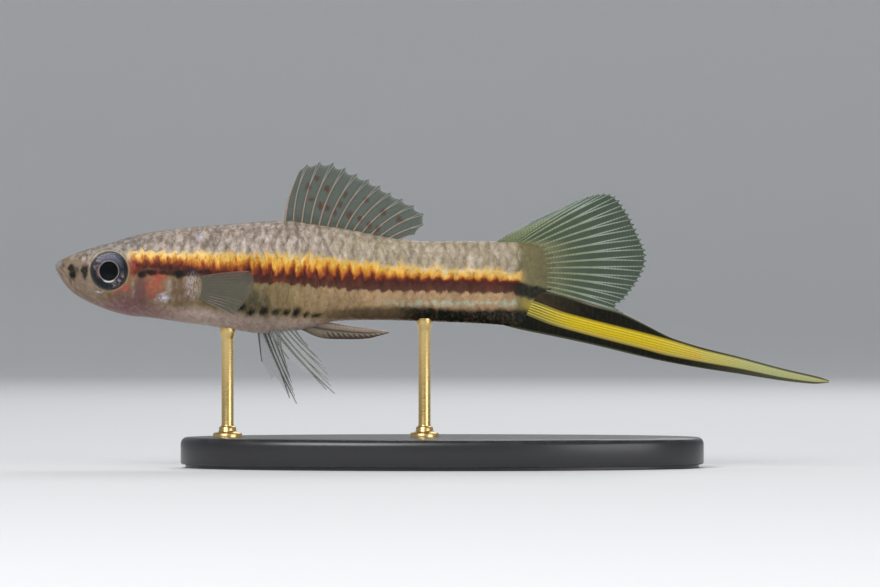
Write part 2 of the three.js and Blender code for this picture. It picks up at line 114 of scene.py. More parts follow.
class SwordtailColours(PropertyGroup):
    back: colour("Back", "Mauve-grey of the front of the back", 0.4, 0.325, 0.275)
    back_rear: colour("Rear back", "Warmer grey of the back over the tail stalk", 0.46, 0.385, 0.265)
    silvery: colour("Silvery streaks", "Pale upright streaks of the back", 0.74, 0.66, 0.6)
    umber: colour("Umber", "Brown-grey between the streaks and round the scales", 0.13, 0.095, 0.07)
    flank: colour("Flank", "Olive flank below the stripe", 0.225, 0.17, 0.075)
    flank_rear: colour("Rear flank", "Tan flank of the tail stalk", 0.5, 0.33, 0.18)
    belly: colour("Belly", "Pinkish grey belly", 0.56, 0.43, 0.365)
    throat: colour("Throat", "Pinkish throat and cheek", 0.3, 0.175, 0.16)
    mauve: colour("Mauve", "Mauve flush of the cheek", 0.16, 0.07, 0.085)
    snout: colour("Snout", "Tan snout", 0.27, 0.2, 0.145)
    crown: colour("Crown", "Grey top of the head", 0.25, 0.225, 0.205)
    lips: colour("Lips", "Bluish-grey lips", 0.24, 0.27, 0.3)
    yellow: colour("Stripe yellow", "Upper edge of the side stripe", 0.62, 0.4, 0.11)
    amber: colour("Stripe amber", "Between the yellow and the orange of the side stripe", 0.7, 0.38, 0.045)
    orange: colour("Stripe orange", "Middle of the side stripe", 0.5, 0.18, 0.025)
    red: colour("Stripe red", "Between the orange and the dark line", 0.2, 0.035, 0.014)
    dark: colour("Stripe dark", "Dark line at the bottom of the side stripe", 0.05, 0.014, 0.012)
    ink: colour("Ink", "Black spots and margins", 0.007, 0.008, 0.006)
    blush: colour("Blush", "Red of the gills behind the thin gill cover", 0.27, 0.05, 0.048)
    scarlet: colour("Scarlet", "Brightest red and orange on the gill cover and cheek", 0.39, 0.08, 0.05)
    gill: colour("Gill shadow", "Purple-brown hollow behind the thin gill cover", 0.12, 0.055, 0.05)
    # Pale skin round the eye; its mask adds a painted highlight on the upper side of the rings
    rim: colour("Eye rim", "Pale skin round the eye", 0.42, 0.39, 0.3)
    pearl: colour("Pearl", "Bluish-white shine", 0.66, 0.64, 0.78)
    turquoise: colour("Turquoise", "Row of shining spots on the tail stalk", 0.42, 0.55, 0.44)
    tail_root: colour("Tail root", "Olive-brown flesh at the tail fin's root", 0.19, 0.17, 0.085)
    web: colour("Web", "Smoky grey-green web of the fins", 0.042, 0.062, 0.038)
    ray: colour("Ray", "Pink-brown fin rays", 0.34, 0.24, 0.19)
    tail_ray: colour("Tail ray", "Blue-grey rays of the tail fin", 0.3, 0.36, 0.3)
    spot: colour("Fin spot", "Dark red-brown spots of the back fin", 0.13, 0.025, 0.018)
    gold: colour("Sword gold", "Bright yellow of the sword", 0.54, 0.4, 0.005)
    gold_tip: colour("Sword tip", "Pale green-yellow towards the sword's tip", 0.34, 0.37, 0.18)
    iris: colour("Iris", "Dark blue-grey iris", 0.01, 0.013, 0.018)
    iris_sheen: colour("Iris sheen", "Lavender sheen on top of the iris", 0.1, 0.1, 0.14)
    silver: colour("Pupil ring", "Thin silver-gold ring round the pupil", 0.62, 0.55, 0.45)
    brass: colour("Brass", "Brushed brass of the rods", 0.72, 0.52, 0.22)
    lacquer: colour("Lacquer", "Satin black of the base", 0.014, 0.014, 0.016)
    floor: colour("Floor", "Pale floor and backdrop", 0.78, 0.79, 0.8)


def light_power(name, description, watts):
    return FloatProperty(name=name, description=description, default=watts, min=0, unit="POWER")


class SwordtailStage(PropertyGroup):
    lens: FloatProperty(
        name="Lens", description="Focal length of the camera", default=240, min=10, unit="CAMERA"
    )
    key: light_power("Key light", "Power of the main light", 5.7)
    fill: light_power("Fill light", "Power of the low front light", 2.1)
    rim: light_power("Rim light", "Power of the light behind", 1.6)
    sky: FloatProperty(name="Sky", description="Strength of the light all round", default=0.23, min=0)


def sizes():
    return bpy.context.scene.swordtail_sizes


def colours():
    return bpy.context.scene.swordtail_colours


# Curves and masks


def profile(points):
    """A smooth curve through (distance, value) points. It runs over the square root of the distance, so that
    a shape that starts at 0 closes with a round end there."""
    at = np.sqrt([distance for distance, _ in points])
    value = np.array([v for _, v in points], float)
    before = np.maximum(np.arange(len(at)) - 1, 0)
    after = np.minimum(np.arange(len(at)) + 1, len(at) - 1)
    slope = (value[after] - value[before]) / (at[after] - at[before])

    def read(distance):
        x = np.clip(np.sqrt(np.maximum(distance, 0)), at[0], at[-1])
        i = np.clip(np.searchsorted(at, x, side="right") - 1, 0, len(at) - 2)
        span = at[i + 1] - at[i]
        t = (x - at[i]) / span
        rise = t * t * (3 - 2 * t)
        bend = span * (slope[i] * t * (1 - t) ** 2 - slope[i + 1] * t * t * (1 - t))
        return value[i] * (1 - rise) + value[i + 1] * rise + bend

    return read


def smooth_line(corners):
    """A curve through corners, read at shares of its length."""
    points = np.array(corners, float)
    padded = np.vstack([points[:1], points, points[-1:]])
    t = np.linspace(0, len(points) - 1, 600)
    i = np.minimum(t.astype(int), len(points) - 2)
    w = (t - i)[:, None]
    before, start, end, after = padded[i], padded[i + 1], padded[i + 2], padded[i + 3]
    leave, arrive = (end - before) / 2, (after - start) / 2
    line = (2 * start - 2 * end + leave + arrive) * w**3
    line += (3 * end - 3 * start - 2 * leave - arrive) * w**2 + leave * w + start
    run = np.concatenate([[0], np.cumsum(np.linalg.norm(np.diff(line, axis=0), axis=1))])
    run /= run[-1]
    return lambda v: (np.interp(v, run, line[:, 0]), np.interp(v, run, line[:, 1]))


def step(value, low, high):
    """0 at low, 1 at high and smooth between them. It falls where low is above high."""
    part = np.clip((value - low) / (high - low), 0, 1)
    return part * part * (3 - 2 * part)


def hump(value, middle, width):
    return np.exp(-(((value - middle) / width) ** 2))


def patch(s, h, place, radii, soft=0.35):
    """1 inside an oval round a place in the side view, with a soft edge."""
    distance = np.hypot((s - place[0]) / radii[0], (h - place[1]) / radii[1])
    return step(distance, 1 + soft, 1 - soft)


def patches(s, h, spots, soft=0.35):
    """The strongest of several oval patches, given as (s, h, half length, half height, strength)."""
    strongest = np.zeros(np.shape(s))
    for spot_s, spot_h, half_s, half_h, strength in spots:
        strongest = np.maximum(strongest, strength * patch(s, h, (spot_s, spot_h), (half_s, half_h), soft))
    return strongest


def line_distance(s, h, corners):
    """The distance to a line of corners in the side view, and its nearest point's place in corner steps."""
    nearest = np.full(np.shape(s), np.inf)
    place = np.zeros(np.shape(s))
    for i in range(len(corners) - 1):
        start = np.array(corners[i])
        run = np.array(corners[i + 1]) - start
        t = np.clip(((s - start[0]) * run[0] + (h - start[1]) * run[1]) / (run @ run), 0, 1)
        distance = np.hypot(s - start[0] - t * run[0], h - start[1] - t * run[1])
        closer = distance < nearest
        nearest = np.where(closer, distance, nearest)
        place = np.where(closer, i + t, place)
    return nearest, place


def cloud(s, h, size, seed):
    """Smooth random values from -1 to 1 over the side view, with lumps of about the given size."""
    lattice = np.random.default_rng(seed).uniform(-1, 1, (256, 128))
    x, z = s / size + 20, h / size + 40
    i, k = np.floor(x).astype(int), np.floor(z).astype(int)
    a, b = step(x - i, 0, 1), step(z - k, 0, 1)
    low = lattice[i % 256, k % 128] * (1 - a) + lattice[(i + 1) % 256, k % 128] * a
    high = lattice[i % 256, (k + 1) % 128] * (1 - a) + lattice[(i + 1) % 256, (k + 1) % 128] * a
    return low * (1 - b) + high * b


# The body's shape, the same as the solids', with a round end in the tail fin's root

back = profile([
    (0, 2.2), (0.35, 2.75), (0.85, 3.05), (2.4, 3.75), (4.5, 4.5), (7.1, 5.2), (9.7, 6), (12.3, 6.6),
    (18.8, 7.3), (24, 7.7), (29.9, 8.05), (33.2, 7.65), (37.9, 6.95), (44.2, 5.75), (48.7, 5.4),
    (55.2, 5.4), (60, 5.3), (62, 5.15), (63.7, 4.8), (65, 4.2), (66, 3.45), (66.8, 2.4), (67.2, 1.2),
])
belly = profile([
    (0, 2.2), (0.35, 1.3), (1.26, -0.2), (2.56, -1.45), (4.5, -2.55), (7.1, -3.6), (9.7, -4.25),
    (12.3, -4.5), (17.5, -5.25), (22.7, -5.95), (26, -6.45), (28.6, -6.4), (33, -5.85), (35.6, -5.05),
    (38.5, -4.8), (43.5, -4.8), (52.6, -5.1), (57.9, -5.4), (60, -5.75), (61.2, -5.3), (62.4, -4),
    (64, -2.3), (65.6, -1.3), (66.7, -0.3), (67.2, 1.1),
])
half_width = profile([
    (0, 0), (0.4, 1.3), (1, 1.75), (2.4, 2.4), (4.5, 3.05), (7.1, 3.6), (9.7, 3.95), (12.3, 4.2),
    (16, 4.35), (22, 4.35), (28, 4.05), (35, 3.3), (42, 2.7), (50, 2.2), (56, 1.65), (60, 1.05),
    (61.6, 0.62), (62.8, 0.32), (63.8, 0.14), (64.8, 0.05), (65.8, 0.02), (67.2, 0.012),
])
widest_level = profile([
    (0, 2.2), (2.4, 1.5), (7.1, 1), (12, 0.6), (20, 0.2), (30, 0.2), (40, 0.4), (67.2, 1.15),
])
square_above = profile([(0, 2.2), (2.4, 2.9), (7, 2.8), (12, 2.4), (20, 2.1), (67.2, 2.05)])
square_below = profile([(0, 2), (7, 2.2), (20, 2.2), (32, 2), (67.2, 2.1)])
SNOUT_FLAT = 0.004  # where the skin's first ring lies
SKIN_END = 67.15


class BodyShape:
    """The body's surface as tables over s and the share of the way from the back round to the belly."""

    STATIONS = 700
    SHARES = 241
    CORNERS = 1441

    def __init__(self):
        self.roots = np.linspace(math.sqrt(SNOUT_FLAT), math.sqrt(SKIN_END), self.STATIONS)
        stations = self.roots**2
        turn = np.linspace(math.pi / 2, -math.pi / 2, self.CORNERS)
        shares = np.linspace(0, 1, self.SHARES)
        table = np.zeros((self.STATIONS, self.SHARES, 3))
        for i, s in enumerate(stations):
            level = widest_level(s)
            up = np.sin(turn) > 0
            reach = np.where(up, back(s) - level, level - belly(s))
            power = 2 / np.where(up, square_above(s), square_below(s))
            y = half_width(s) * np.abs(np.cos(turn)) ** power
            h = level + reach * np.sign(np.sin(turn)) * np.abs(np.sin(turn)) ** power
            run = np.concatenate([[0], np.cumsum(np.hypot(np.diff(y), np.diff(h)))])
            run /= run[-1]
            table[i, :, 0] = s
            table[i, :, 1] = np.interp(shares, run, y)
            table[i, :, 2] = np.interp(shares, run, h)
        normal = np.cross(np.gradient(table, axis=0), np.gradient(table, axis=1))
        normal[:, [0, -1], 1] = 0
        normal /= np.maximum(np.linalg.norm(normal, axis=-1, keepdims=True), 1e-9)
        self.table = np.concatenate([table, normal], -1)

    def read(self, s, share_round, side, lift=0):
        """Points of the surface on one side, moved out along it, and the way that is out there."""
        x = (np.sqrt(s) - self.roots[0]) / (self.roots[1] - self.roots[0])
        z = np.asarray(share_round) * (self.SHARES - 1)
        i = np.clip(x.astype(int), 0, self.STATIONS - 2)
        j = np.clip(z.astype(int), 0, self.SHARES - 2)
        a, b = (x - i)[..., None], (z - j)[..., None]
        found = self.table[i, j] * (1 - a) * (1 - b) + self.table[i + 1, j] * a * (1 - b)
        found += self.table[i, j + 1] * (1 - a) * b + self.table[i + 1, j + 1] * a * b
        point, out = found[..., :3].copy(), found[..., 3:].copy()
        for value in (point, out):
            value[..., 1] *= side
        return point + out * np.asarray(lift)[..., None], out

    def share_at(self, s, h):
        """The share of the way round at which the surface is at height h."""
        shares = np.linspace(0, 1, self.SHARES)
        heights = self.read(np.full(self.SHARES, float(s)), shares, 1)[0][:, 2]
        return float(np.interp(-h, -heights, shares))


body = BodyShape()


def side_at(s, h):
    """How far the body's side stands from the middle plane."""
    place = body.share_at(s, h)
    return body.read(np.array([float(s)]), np.array([place]), 1)[0][0, 1]


# Mesh making


class Piece:
    """Collects vertices in fish millimetres, faces and point marks, and makes one mesh object of them."""

    def __init__(self):
        self.points = []
        self.faces = []
        self.marks = {}
        self.uvs = []
        self.count = 0

    def add(self, points, faces, uv=None, **marks):
        points = np.asarray(points, float).reshape(-1, 3)
        for name, value in marks.items():
            values = np.broadcast_to(np.asarray(value, float), np.shape(value) or (len(points),)).reshape(-1)
            self.marks.setdefault(name, []).append(values)
        if uv is not None:
            self.uvs.append(np.asarray(uv, float).reshape(-1, 2))
        self.points.append(points)
        self.faces += [[corner + self.count for corner in face] for face in faces]
        self.count += len(points)

    def make(self, name, material, sharp_angle=math.radians(50)):
        points = np.concatenate(self.points)
        points = np.stack([SNOUT_X + points[:, 0], points[:, 1], AXIS_Z + points[:, 2]], -1) * MM
        mesh = bpy.data.meshes.new(name)
        mesh.from_pydata(points.tolist(), [], self.faces)
        for mark, values in self.marks.items():
            attribute = mesh.attributes.new(mark, "FLOAT", "POINT")
            attribute.data.foreach_set("value", np.concatenate(values).astype(np.float32))
        if self.uvs:
            uv_of_point = np.concatenate(self.uvs)
            corners = np.zeros(len(mesh.loops), np.int32)
            mesh.loops.foreach_get("vertex_index", corners)
            layer = mesh.uv_layers.new(name="OFBake")
            layer.data.foreach_set("uv", uv_of_point[corners].astype(np.float32).ravel())
        mesh.materials.append(material)
        mesh.shade_smooth()
        mesh.set_sharp_from_angle(angle=sharp_angle)
        mesh.validate()
        return bring_in(name, mesh)


def hand_in(piece, slot, *nodes):
    """Says what a finished piece rides on and stands for. Its slot, the finish it would take, is not used."""
    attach(piece, "root")
    if nodes:
        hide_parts(*nodes)


def grid_faces(rows, columns, closed=False, flip=False):
    """Quads of a grid of rows and columns of vertices, closed across the columns or not."""
    faces = []
    for i in range(rows - 1):
        for k in range(columns if closed else columns - 1):
            a, b = i * columns + k, i * columns + (k + 1) % columns
            quad = [a, b, b + columns, a + columns]
            faces.append(quad[::-1] if flip else quad)
    return faces


def tube_faces(rows, columns):
    """Faces of a closed tube of rings, with an n-sided face at each end. The rings turn right-handed."""
    ends = [list(range(columns))[::-1], list(range((rows - 1) * columns, rows * columns))]
    return grid_faces(rows, columns, closed=True) + ends


def sheet_faces(rows, columns):
    """Faces of a thin closed plate: one grid, the same grid again behind it, and the rim between them."""
    count = rows * columns
    faces = grid_faces(rows, columns) + [
        [corner + count for corner in face] for face in grid_faces(rows, columns, flip=True)
    ]
    rim = list(range(columns)) + [i * columns + columns - 1 for i in range(1, rows)]
    rim += [(rows - 1) * columns + k for k in range(columns - 2, -1, -1)]
    rim += [i * columns for i in range(rows - 2, 0, -1)]
    for a, b in zip(rim, rim[1:] + rim[:1]):
        faces.append([b, a, a + count, b + count])
    return faces


SIDEWAYS = np.array([0.0, 1.0, 0.0])


def add_plate(piece, middle, half, marks):
    """Adds a thin closed plate: a grid of middle points, half its thickness to each side, and its marks."""
    rows, columns = middle.shape[:2]
    doubled = {name: np.stack([value, value]).ravel() for name, value in marks.items()}
    piece.add(np.stack([middle + half, middle - half]), sheet_faces(rows, columns), **doubled)


def circle(count):
    """Turns round a full circle."""
    return 2 * math.pi * np.arange(count) / count


def bring_in(name, data):
    """Puts a mesh, a light or a camera into the scene."""
    thing = bpy.data.objects.new(name, data)
    bpy.context.scene.collection.objects.link(thing)
    return thing


def unit(vectors):
    return vectors / np.maximum(np.linalg.norm(vectors, axis=-1, keepdims=True), 1e-9)


# Materials


class Nodes:
    """Adds shader nodes to a tree and links sockets or values into them."""

    def __init__(self, tree):
        self.tree = tree

    def put(self, socket, value):
        if isinstance(value, bpy.types.NodeSocket):
            self.tree.links.new(value, socket)
        elif socket.type == "RGBA":
            socket.default_value = (*value[:3], 1)
        else:
            socket.default_value = value

    def add(self, kind, inputs, **settings):
        node = self.tree.nodes.new("ShaderNode" + kind)
        for name, value in settings.items():
            setattr(node, name, value)
        for name, value in inputs.items():
            self.put(node.inputs[name], value)
        return node

    def mark(self, name):
        return self.add("Attribute", {}, attribute_name=name).outputs["Fac"]

    def math(self, operation, a, b=0.0, clamp=False):
        return self.add("Math", {0: a, 1: b}, operation=operation, use_clamp=clamp).outputs[0]

    def times(self, a, b):
        return self.math("MULTIPLY", a, b)

    def plus(self, a, b, clamp=False):
        return self.math("ADD", a, b, clamp)

    def mix(self, amount, a, b, blend="MIX"):
        node = self.add("Mix", {}, data_type="RGBA", blend_type=blend, clamp_factor=True)
        for index, value in ((0, amount), (6, a), (7, b)):
            self.put(node.inputs[index], value)
        return node.outputs[2]

    def lay(self, base, over, where, share=None):
        """A colour over the base, where a mark's name or a mask says, and by a share of it."""
        mask = self.mark(where) if isinstance(where, str) else where
        if share is not None:
            mask = self.times(mask, share)
        return self.mix(mask, base, over)

    def layers(self, base, *rows):
        for row in rows:
            base = self.lay(base, *row)
        return base

    def shade(self, base, over):
        return self.mix(1.0, base, over, "MULTIPLY")

    def between(self, value, low, high, new_low=0.0, new_high=1.0):
        inputs = {"Value": value, "From Min": low, "From Max": high, "To Min": new_low, "To Max": new_high}
        return self.add("MapRange", inputs).outputs["Result"]

    def ramp(self, value, stops):
        """Colours, or colours with an alpha, at places from 0 to 1."""
        node = self.add("ValToRGB", {"Fac": value})
        elements = node.color_ramp.elements
        while len(elements) < len(stops):
            elements.new(0.5)
        for element, (place, stop) in zip(elements, stops):
            element.position = place
            element.color = (*stop, 1)[:4]
        return node.outputs["Color"], node.outputs["Alpha"]

    def group(self, name, *values):
        """One of the shared groups, with values for its inputs in their order."""
        node = self.tree.nodes.new("ShaderNodeGroup")
        node.node_tree = shared_group(name)
        for socket, value in zip(node.inputs, values):
            self.put(socket, value)
        return node.outputs

    def grain(self, size, contrast):
        return self.group("fine grain", size, contrast)["Value"]

    def speckles(self, pitch, dot):
        return self.group("speckles", pitch, dot)["Value"]

    def streaks(self, pitch, stretch):
        return self.group("upright streaks", pitch, stretch)["Value"]

    def noise(self, place, scale, detail, rough):
        inputs = {"Vector": place, "Scale": scale, "Detail": detail, "Roughness": rough}
        return self.add("TexNoise", inputs).outputs["Fac"]

    def finish(self, **values):
        """Sets the shader's sockets: a keyword's underlines stand for the spaces of the socket's name."""
        for name, value in values.items():
            self.put(self.tree.nodes["Principled BSDF"].inputs[name.replace("_", " ")], value)

    def bump(self, height, distance_mm, strength):
        inputs = {"Strength": strength, "Distance": distance_mm * MM, "Height": height}
        self.finish(Normal=self.add("Bump", inputs).outputs["Normal"])


def fill_grain(nodes, place, given, out):
    """Fine unevenness for every material: a cloudy value and a height, at a size in millimetres."""
    per_mm = nodes.math("DIVIDE", 1 / MM, given["Size"])
    broad = nodes.noise(place, per_mm, 3.0, 0.55)
    fine = nodes.noise(place, nodes.times(per_mm, 5.3), 2.0, 0.7)
    both = nodes.plus(nodes.times(broad, 0.62), nodes.times(fine, 0.38))
    spread = nodes.times(nodes.math("SUBTRACT", both, 0.5), given["Contrast"])
    nodes.put(out["Value"], nodes.plus(spread, 0.5, clamp=True))
    nodes.put(out["Height"], fine)


def fill_speckles(nodes, place, given, out):
    """Small scattered dots, such as pigment cells: 1 inside a dot and 0 between them."""
    scale = nodes.math("DIVIDE", 1 / MM, given["Pitch"])
    cells = nodes.add("TexVoronoi", {"Vector": place, "Scale": scale}).outputs["Distance"]
    nodes.put(out["Value"], nodes.between(cells, given["Dot"], nodes.times(given["Dot"], 0.6)))


def fill_streaks(nodes, place, given, out):
    """Fine upright streaks, as light scatters on the skin's silvery cells."""
    squash = nodes.add("CombineXYZ", {"X": 1.0, "Y": 1.0, "Z": given["Stretch"]}).outputs[0]
    stretched = nodes.add("VectorMath", {0: place, 1: squash}, operation="MULTIPLY").outputs[0]
    nodes.put(out["Value"], nodes.noise(stretched, nodes.math("DIVIDE", 1 / MM, given["Pitch"]), 3.0, 0.6))


# What fills each shared group, its inputs and its outputs
GROUPS = {
    "fine grain": (fill_grain, ("Size", "Contrast"), ("Value", "Height")),
    "speckles": (fill_speckles, ("Pitch", "Dot"), ("Value",)),
    "upright streaks": (fill_streaks, ("Pitch", "Stretch"), ("Value",)),
}


def shared_group(name):
    """A shader group of named number sockets, made the first time that it is asked for."""
    if name in bpy.data.node_groups:
        return bpy.data.node_groups[name]
    fill, inputs, outputs = GROUPS[name]
    tree = bpy.data.node_groups.new(name, "ShaderNodeTree")
    for way, sockets in (("INPUT", inputs), ("OUTPUT", outputs)):
        for socket in sockets:
            tree.interface.new_socket(socket, in_out=way, socket_type="NodeSocketFloat")
    nodes = Nodes(tree)
    given = tree.nodes.new("NodeGroupInput").outputs
    out = tree.nodes.new("NodeGroupOutput").inputs
    fill(nodes, nodes.add("TexCoord", {}).outputs["Object"], given, out)
    return tree


def keep(name, maker, *given):
    """A material by name, made the first time that it is asked for."""
    if name not in bpy.data.materials:
        material = bpy.data.materials.new(name)
        material.use_nodes = True
        maker(Nodes(material.node_tree), *given)
    return bpy.data.materials[name]


# Fixed pigments, and a few fixed colours of painted highlight and shade, besides the colours that a user can
# change
MOSS = (0.065, 0.072, 0.042)
EARTH = (0.17, 0.105, 0.062)
PIGMENT_CELL = (0.09, 0.06, 0.04)
BRIGHT_YELLOW = (0.92, 0.64, 0.24)
PALE_YELLOW = (0.82, 0.68, 0.36)
SINGED = (0.16, 0.07, 0.022)
PALE_LINE = (0.36, 0.3, 0.3)
WHITE = (1, 1, 1)
WEB_GRAIN = (0.34, 0.4, 0.33)
WEB_DOT = (0.04, 0.04, 0.025)
WEB_EDGE = (0.5, 0.54, 0.5)
GOLD_LOW = (0.34, 0.3, 0.12)
GOLD_FLUSH = (0.6, 0.3, 0.012)
# Dark orange-brown of the fine lines between the sword's rays, put in the grooves as painted shade
GROOVE_SHADE = (0.25, 0.15, 0.012)
GOLD_ROOT = (0.13, 0.14, 0.06)
# Pale yellow of the painted highlight on the sword's ray crests
CREST_HIGHLIGHT = (0.85, 0.76, 0.34)
BROWN_INK = (0.012, 0.011, 0.008)
# Grey of the sword's black margins where they turn glassy towards the tip, and of the painted pale highlight
# along their outer edges
GLASSY_INK_AND_EDGE_HIGHLIGHT = (0.16, 0.16, 0.1)
ROOT_INK = (0.05, 0.038, 0.024)
SWORD_JOINT = (0.12, 0.09, 0.02)
IRIS_FLECK = (0.38, 0.3, 0.32)
IRIS_PINK = (0.5, 0.27, 0.23)
IRIS_EDGE = (0.05, 0.05, 0.045)
EYE_GLINT = (0.95, 0.93, 0.9)
TARNISH = (0.42, 0.28, 0.1)
RUBBED_EDGE = (0.12, 0.115, 0.11)
STRIPE_LOW, STRIPE_HIGH = -1.0, 3.0  # the range of the stripe mark that its ramp covers


def stripe_colour(nodes, tint, grain, lines):
    """The side stripe's colour, from its dark line up to the yellow, and how much it covers."""
    calm = nodes.between(nodes.mark("rear"), 0.3, 1.0, 1.0, 0.4)
    uneven = nodes.times(nodes.math("SUBTRACT", lines, 0.5), nodes.times(calm, 0.9))
    along = nodes.between(nodes.plus(nodes.mark("stripe"), uneven), STRIPE_LOW, STRIPE_HIGH)

    def at(level):
        return (level - STRIPE_LOW) / (STRIPE_HIGH - STRIPE_LOW)

    def part(low, high, new_high=1.0):
        return nodes.between(along, at(low), at(high), 0.0, new_high)

    bands = [
        (-0.18, tint.dark, 0.0), (0.02, tint.dark, 0.9), (0.78, tint.dark, 1.0), (1.02, tint.red, 1.0),
        (1.26, tint.orange, 1.0), (1.55, tint.amber, 1.0), (1.86, tint.yellow, 0.9),
        (2.12, tint.yellow, 0.0),
    ]
    stripe, drawn = nodes.ramp(along, [(at(level), (*band, cover)) for level, band, cover in bands])
    stripe = nodes.layers(
        stripe,
        (BRIGHT_YELLOW, "bright", part(1.35, 1.8, 0.75)),
        (PALE_YELLOW, nodes.between(lines, 0.54, 0.68, 0.0, 0.5), part(1.3, 1.8)),
        (SINGED, nodes.between(grain, 0.46, 0.22, 0.0, 0.75), part(0.6, 1.2)),
    )
    burnt = nodes.times(nodes.between(lines, 0.52, 0.34, 0.0, 0.6), calm)
    stripe = nodes.lay(stripe, tint.red, burnt, part(2.0, 1.2))
    return stripe, drawn


def body_colour(nodes, tint):
    """The fish's colours and their shine, for its skin and its scales alike."""
    grain = nodes.grain(0.55, 1.6)
    clouds = nodes.grain(2.6, 1.5)
    dots = nodes.speckles(0.34, 0.3)
    lines = nodes.streaks(0.62, 0.34)
    mark = nodes.mark
    flank = nodes.lay(tint.flank, tint.flank_rear, "rear")
    base = nodes.lay(flank, nodes.lay(tint.back, tint.back_rear, "rear"), "above")
    # Below the belly line the belly's own colour, plus a thin pale line of painted highlight along the rear
    # belly's lower edge
    base = nodes.lay(base, nodes.lay(tint.belly, tint.throat, "throat"), "under")
    for name in ("snout", "crown", "mauve", "tail_root"):
        base = nodes.lay(base, getattr(tint, name), name)
    # Upright bars, two dull patches, and each scale's pale streak and dark rim
    base = nodes.layers(
        base,
        (tint.umber, "bars", 0.5),
        (MOSS, "moss"),
        (EARTH, "earth"),
    )
    glitter = nodes.times(nodes.between(lines, 0.5, 0.62), nodes.between(mark("above"), 0.0, 1.0, 0.2, 1.0))
    glitter = nodes.times(glitter, nodes.between(mark("tail_root"), 0.0, 0.6, 0.42, 0.0))
    base = nodes.lay(base, tint.silvery, glitter, nodes.between(mark("rear"), 0.3, 1.0, 1.0, 0.45))
    shade = nodes.times(nodes.between(lines, 0.48, 0.36), nodes.between(mark("above"), 0.0, 1.0, 0.35, 1.0))
    base = nodes.lay(base, tint.umber, shade, nodes.between(mark("rear"), 0.3, 1.0, 0.48, 0.24))
    streak = nodes.times(mark("streak"), nodes.between(lines, 0.4, 0.6, 0.3, 1.0))
    base = nodes.lay(base, tint.silvery, streak, 0.55)
    base = nodes.lay(base, tint.umber, "net", 0.26)
    # Cloudy and dotted pigment
    base = nodes.shade(base, nodes.ramp(clouds, [(0.2, (0.8, 0.78, 0.76)), (0.8, WHITE)])[0])
    base = nodes.shade(base, nodes.ramp(grain, [(0.25, (0.72, 0.7, 0.68)), (0.7, WHITE)])[0])
    base = nodes.lay(base, PIGMENT_CELL, dots, 0.28)
    base = nodes.lay(base, tint.web, "finned")
    stripe, drawn = stripe_colour(nodes, tint, grain, lines)
    base = nodes.lay(base, stripe, drawn, mark("stripe_zone"))
    # Red, black and shining marks
    base = nodes.lay(base, tint.gill, "gill")
    red = nodes.lay(tint.blush, tint.scarlet, nodes.between(grain, 0.35, 0.65))
    base = nodes.lay(base, red, "blush")
    # The eye rim's pale rings carry a painted highlight above the eye
    for name in ("rim", "gold", "lips"):
        base = nodes.lay(base, getattr(tint, name), name)
    base = nodes.lay(base, tint.ink, "ink", nodes.between(grain, 0.2, 0.5, 0.75, 1.0))
    shine = nodes.times(mark("pearl"), nodes.between(grain, 0.3, 0.6, 0.5, 1.0))
    base = nodes.lay(base, tint.pearl, shine)
    blue = nodes.times(mark("turquoise"), nodes.between(grain, 0.35, 0.6, 0.35, 1.0))
    base = nodes.lay(base, tint.turquoise, blue)
    base = nodes.lay(base, PALE_LINE, "striae", nodes.between(nodes.streaks(0.17, 0.4), 0.4, 0.62))
    return base, nodes.math("MAXIMUM", shine, blue), grain


def skin_material(nodes, tint):
    base, silver, grain = body_colour(nodes, tint)
    nodes.finish(
        Base_Color=base, Metallic=nodes.times(silver, 0.45),
        Roughness=nodes.between(grain, 0.2, 0.8, 0.32, 0.52), Coat_Weight=0.04, Coat_Roughness=0.14,
        Specular_IOR_Level=0.1,
    )
    pores = nodes.group("fine grain", 0.3, 1.0)["Height"]
    nodes.bump(pores, 0.03, 0.5)


def scale_material(nodes, tint):
    base, silver, grain = body_colour(nodes, tint)
    tone = nodes.mark("tone")
    lighter = nodes.between(tone, 0.0, 1.0, 0.84, 1.12)
    base = nodes.shade(base, nodes.add("CombineColor", {0: lighter, 1: lighter, 2: lighter}).outputs[0])
    nodes.finish(
        Base_Color=base, Metallic=nodes.times(silver, 0.5),
        Roughness=nodes.between(tone, 0.0, 1.0, 0.3, 0.46), Coat_Weight=0.04, Coat_Roughness=0.12,
        Specular_IOR_Level=0.12,
    )
    # Growth rings round the scale and fine rays across its rim
    rings = nodes.math("SINE", nodes.times(nodes.mark("ring"), 46.0))
    rays = nodes.math("SINE", nodes.times(nodes.mark("fan"), 19.0))
    relief = nodes.plus(rings, nodes.times(rays, 0.7))
    nodes.bump(nodes.plus(relief, grain), 0.004, 0.6)


def web_material(nodes, tint, web, strength=1.0):
    """Thin fin web: see-through, greener and denser towards the root, with dark spots."""
    grain = nodes.grain(0.7, 1.4)
    dots = nodes.speckles(0.3, 0.24)
    margin = nodes.mark("margin")
    base = nodes.layers(
        web,
        (tint.tail_root, "root"),
        (WEB_GRAIN, grain, 0.1),
        (WEB_DOT, dots, 0.3),
        (WEB_EDGE, margin, 0.6),
    )
    spot = nodes.times(nodes.mark("spot"), nodes.between(grain, 0.25, 0.6, 0.6, 1.0))
    base = nodes.lay(base, tint.spot, spot)
    cover = nodes.plus(nodes.times(nodes.mark("dense"), strength), nodes.times(dots, 0.1))
    cover = nodes.plus(cover, nodes.times(margin, 0.25))
    cover = nodes.plus(cover, nodes.times(spot, 0.6), clamp=True)
    nodes.finish(Base_Color=base, Alpha=cover, Roughness=0.34, Coat_Weight=0.06, Specular_IOR_Level=0.2)
    nodes.bump(grain, 0.02, 0.4)


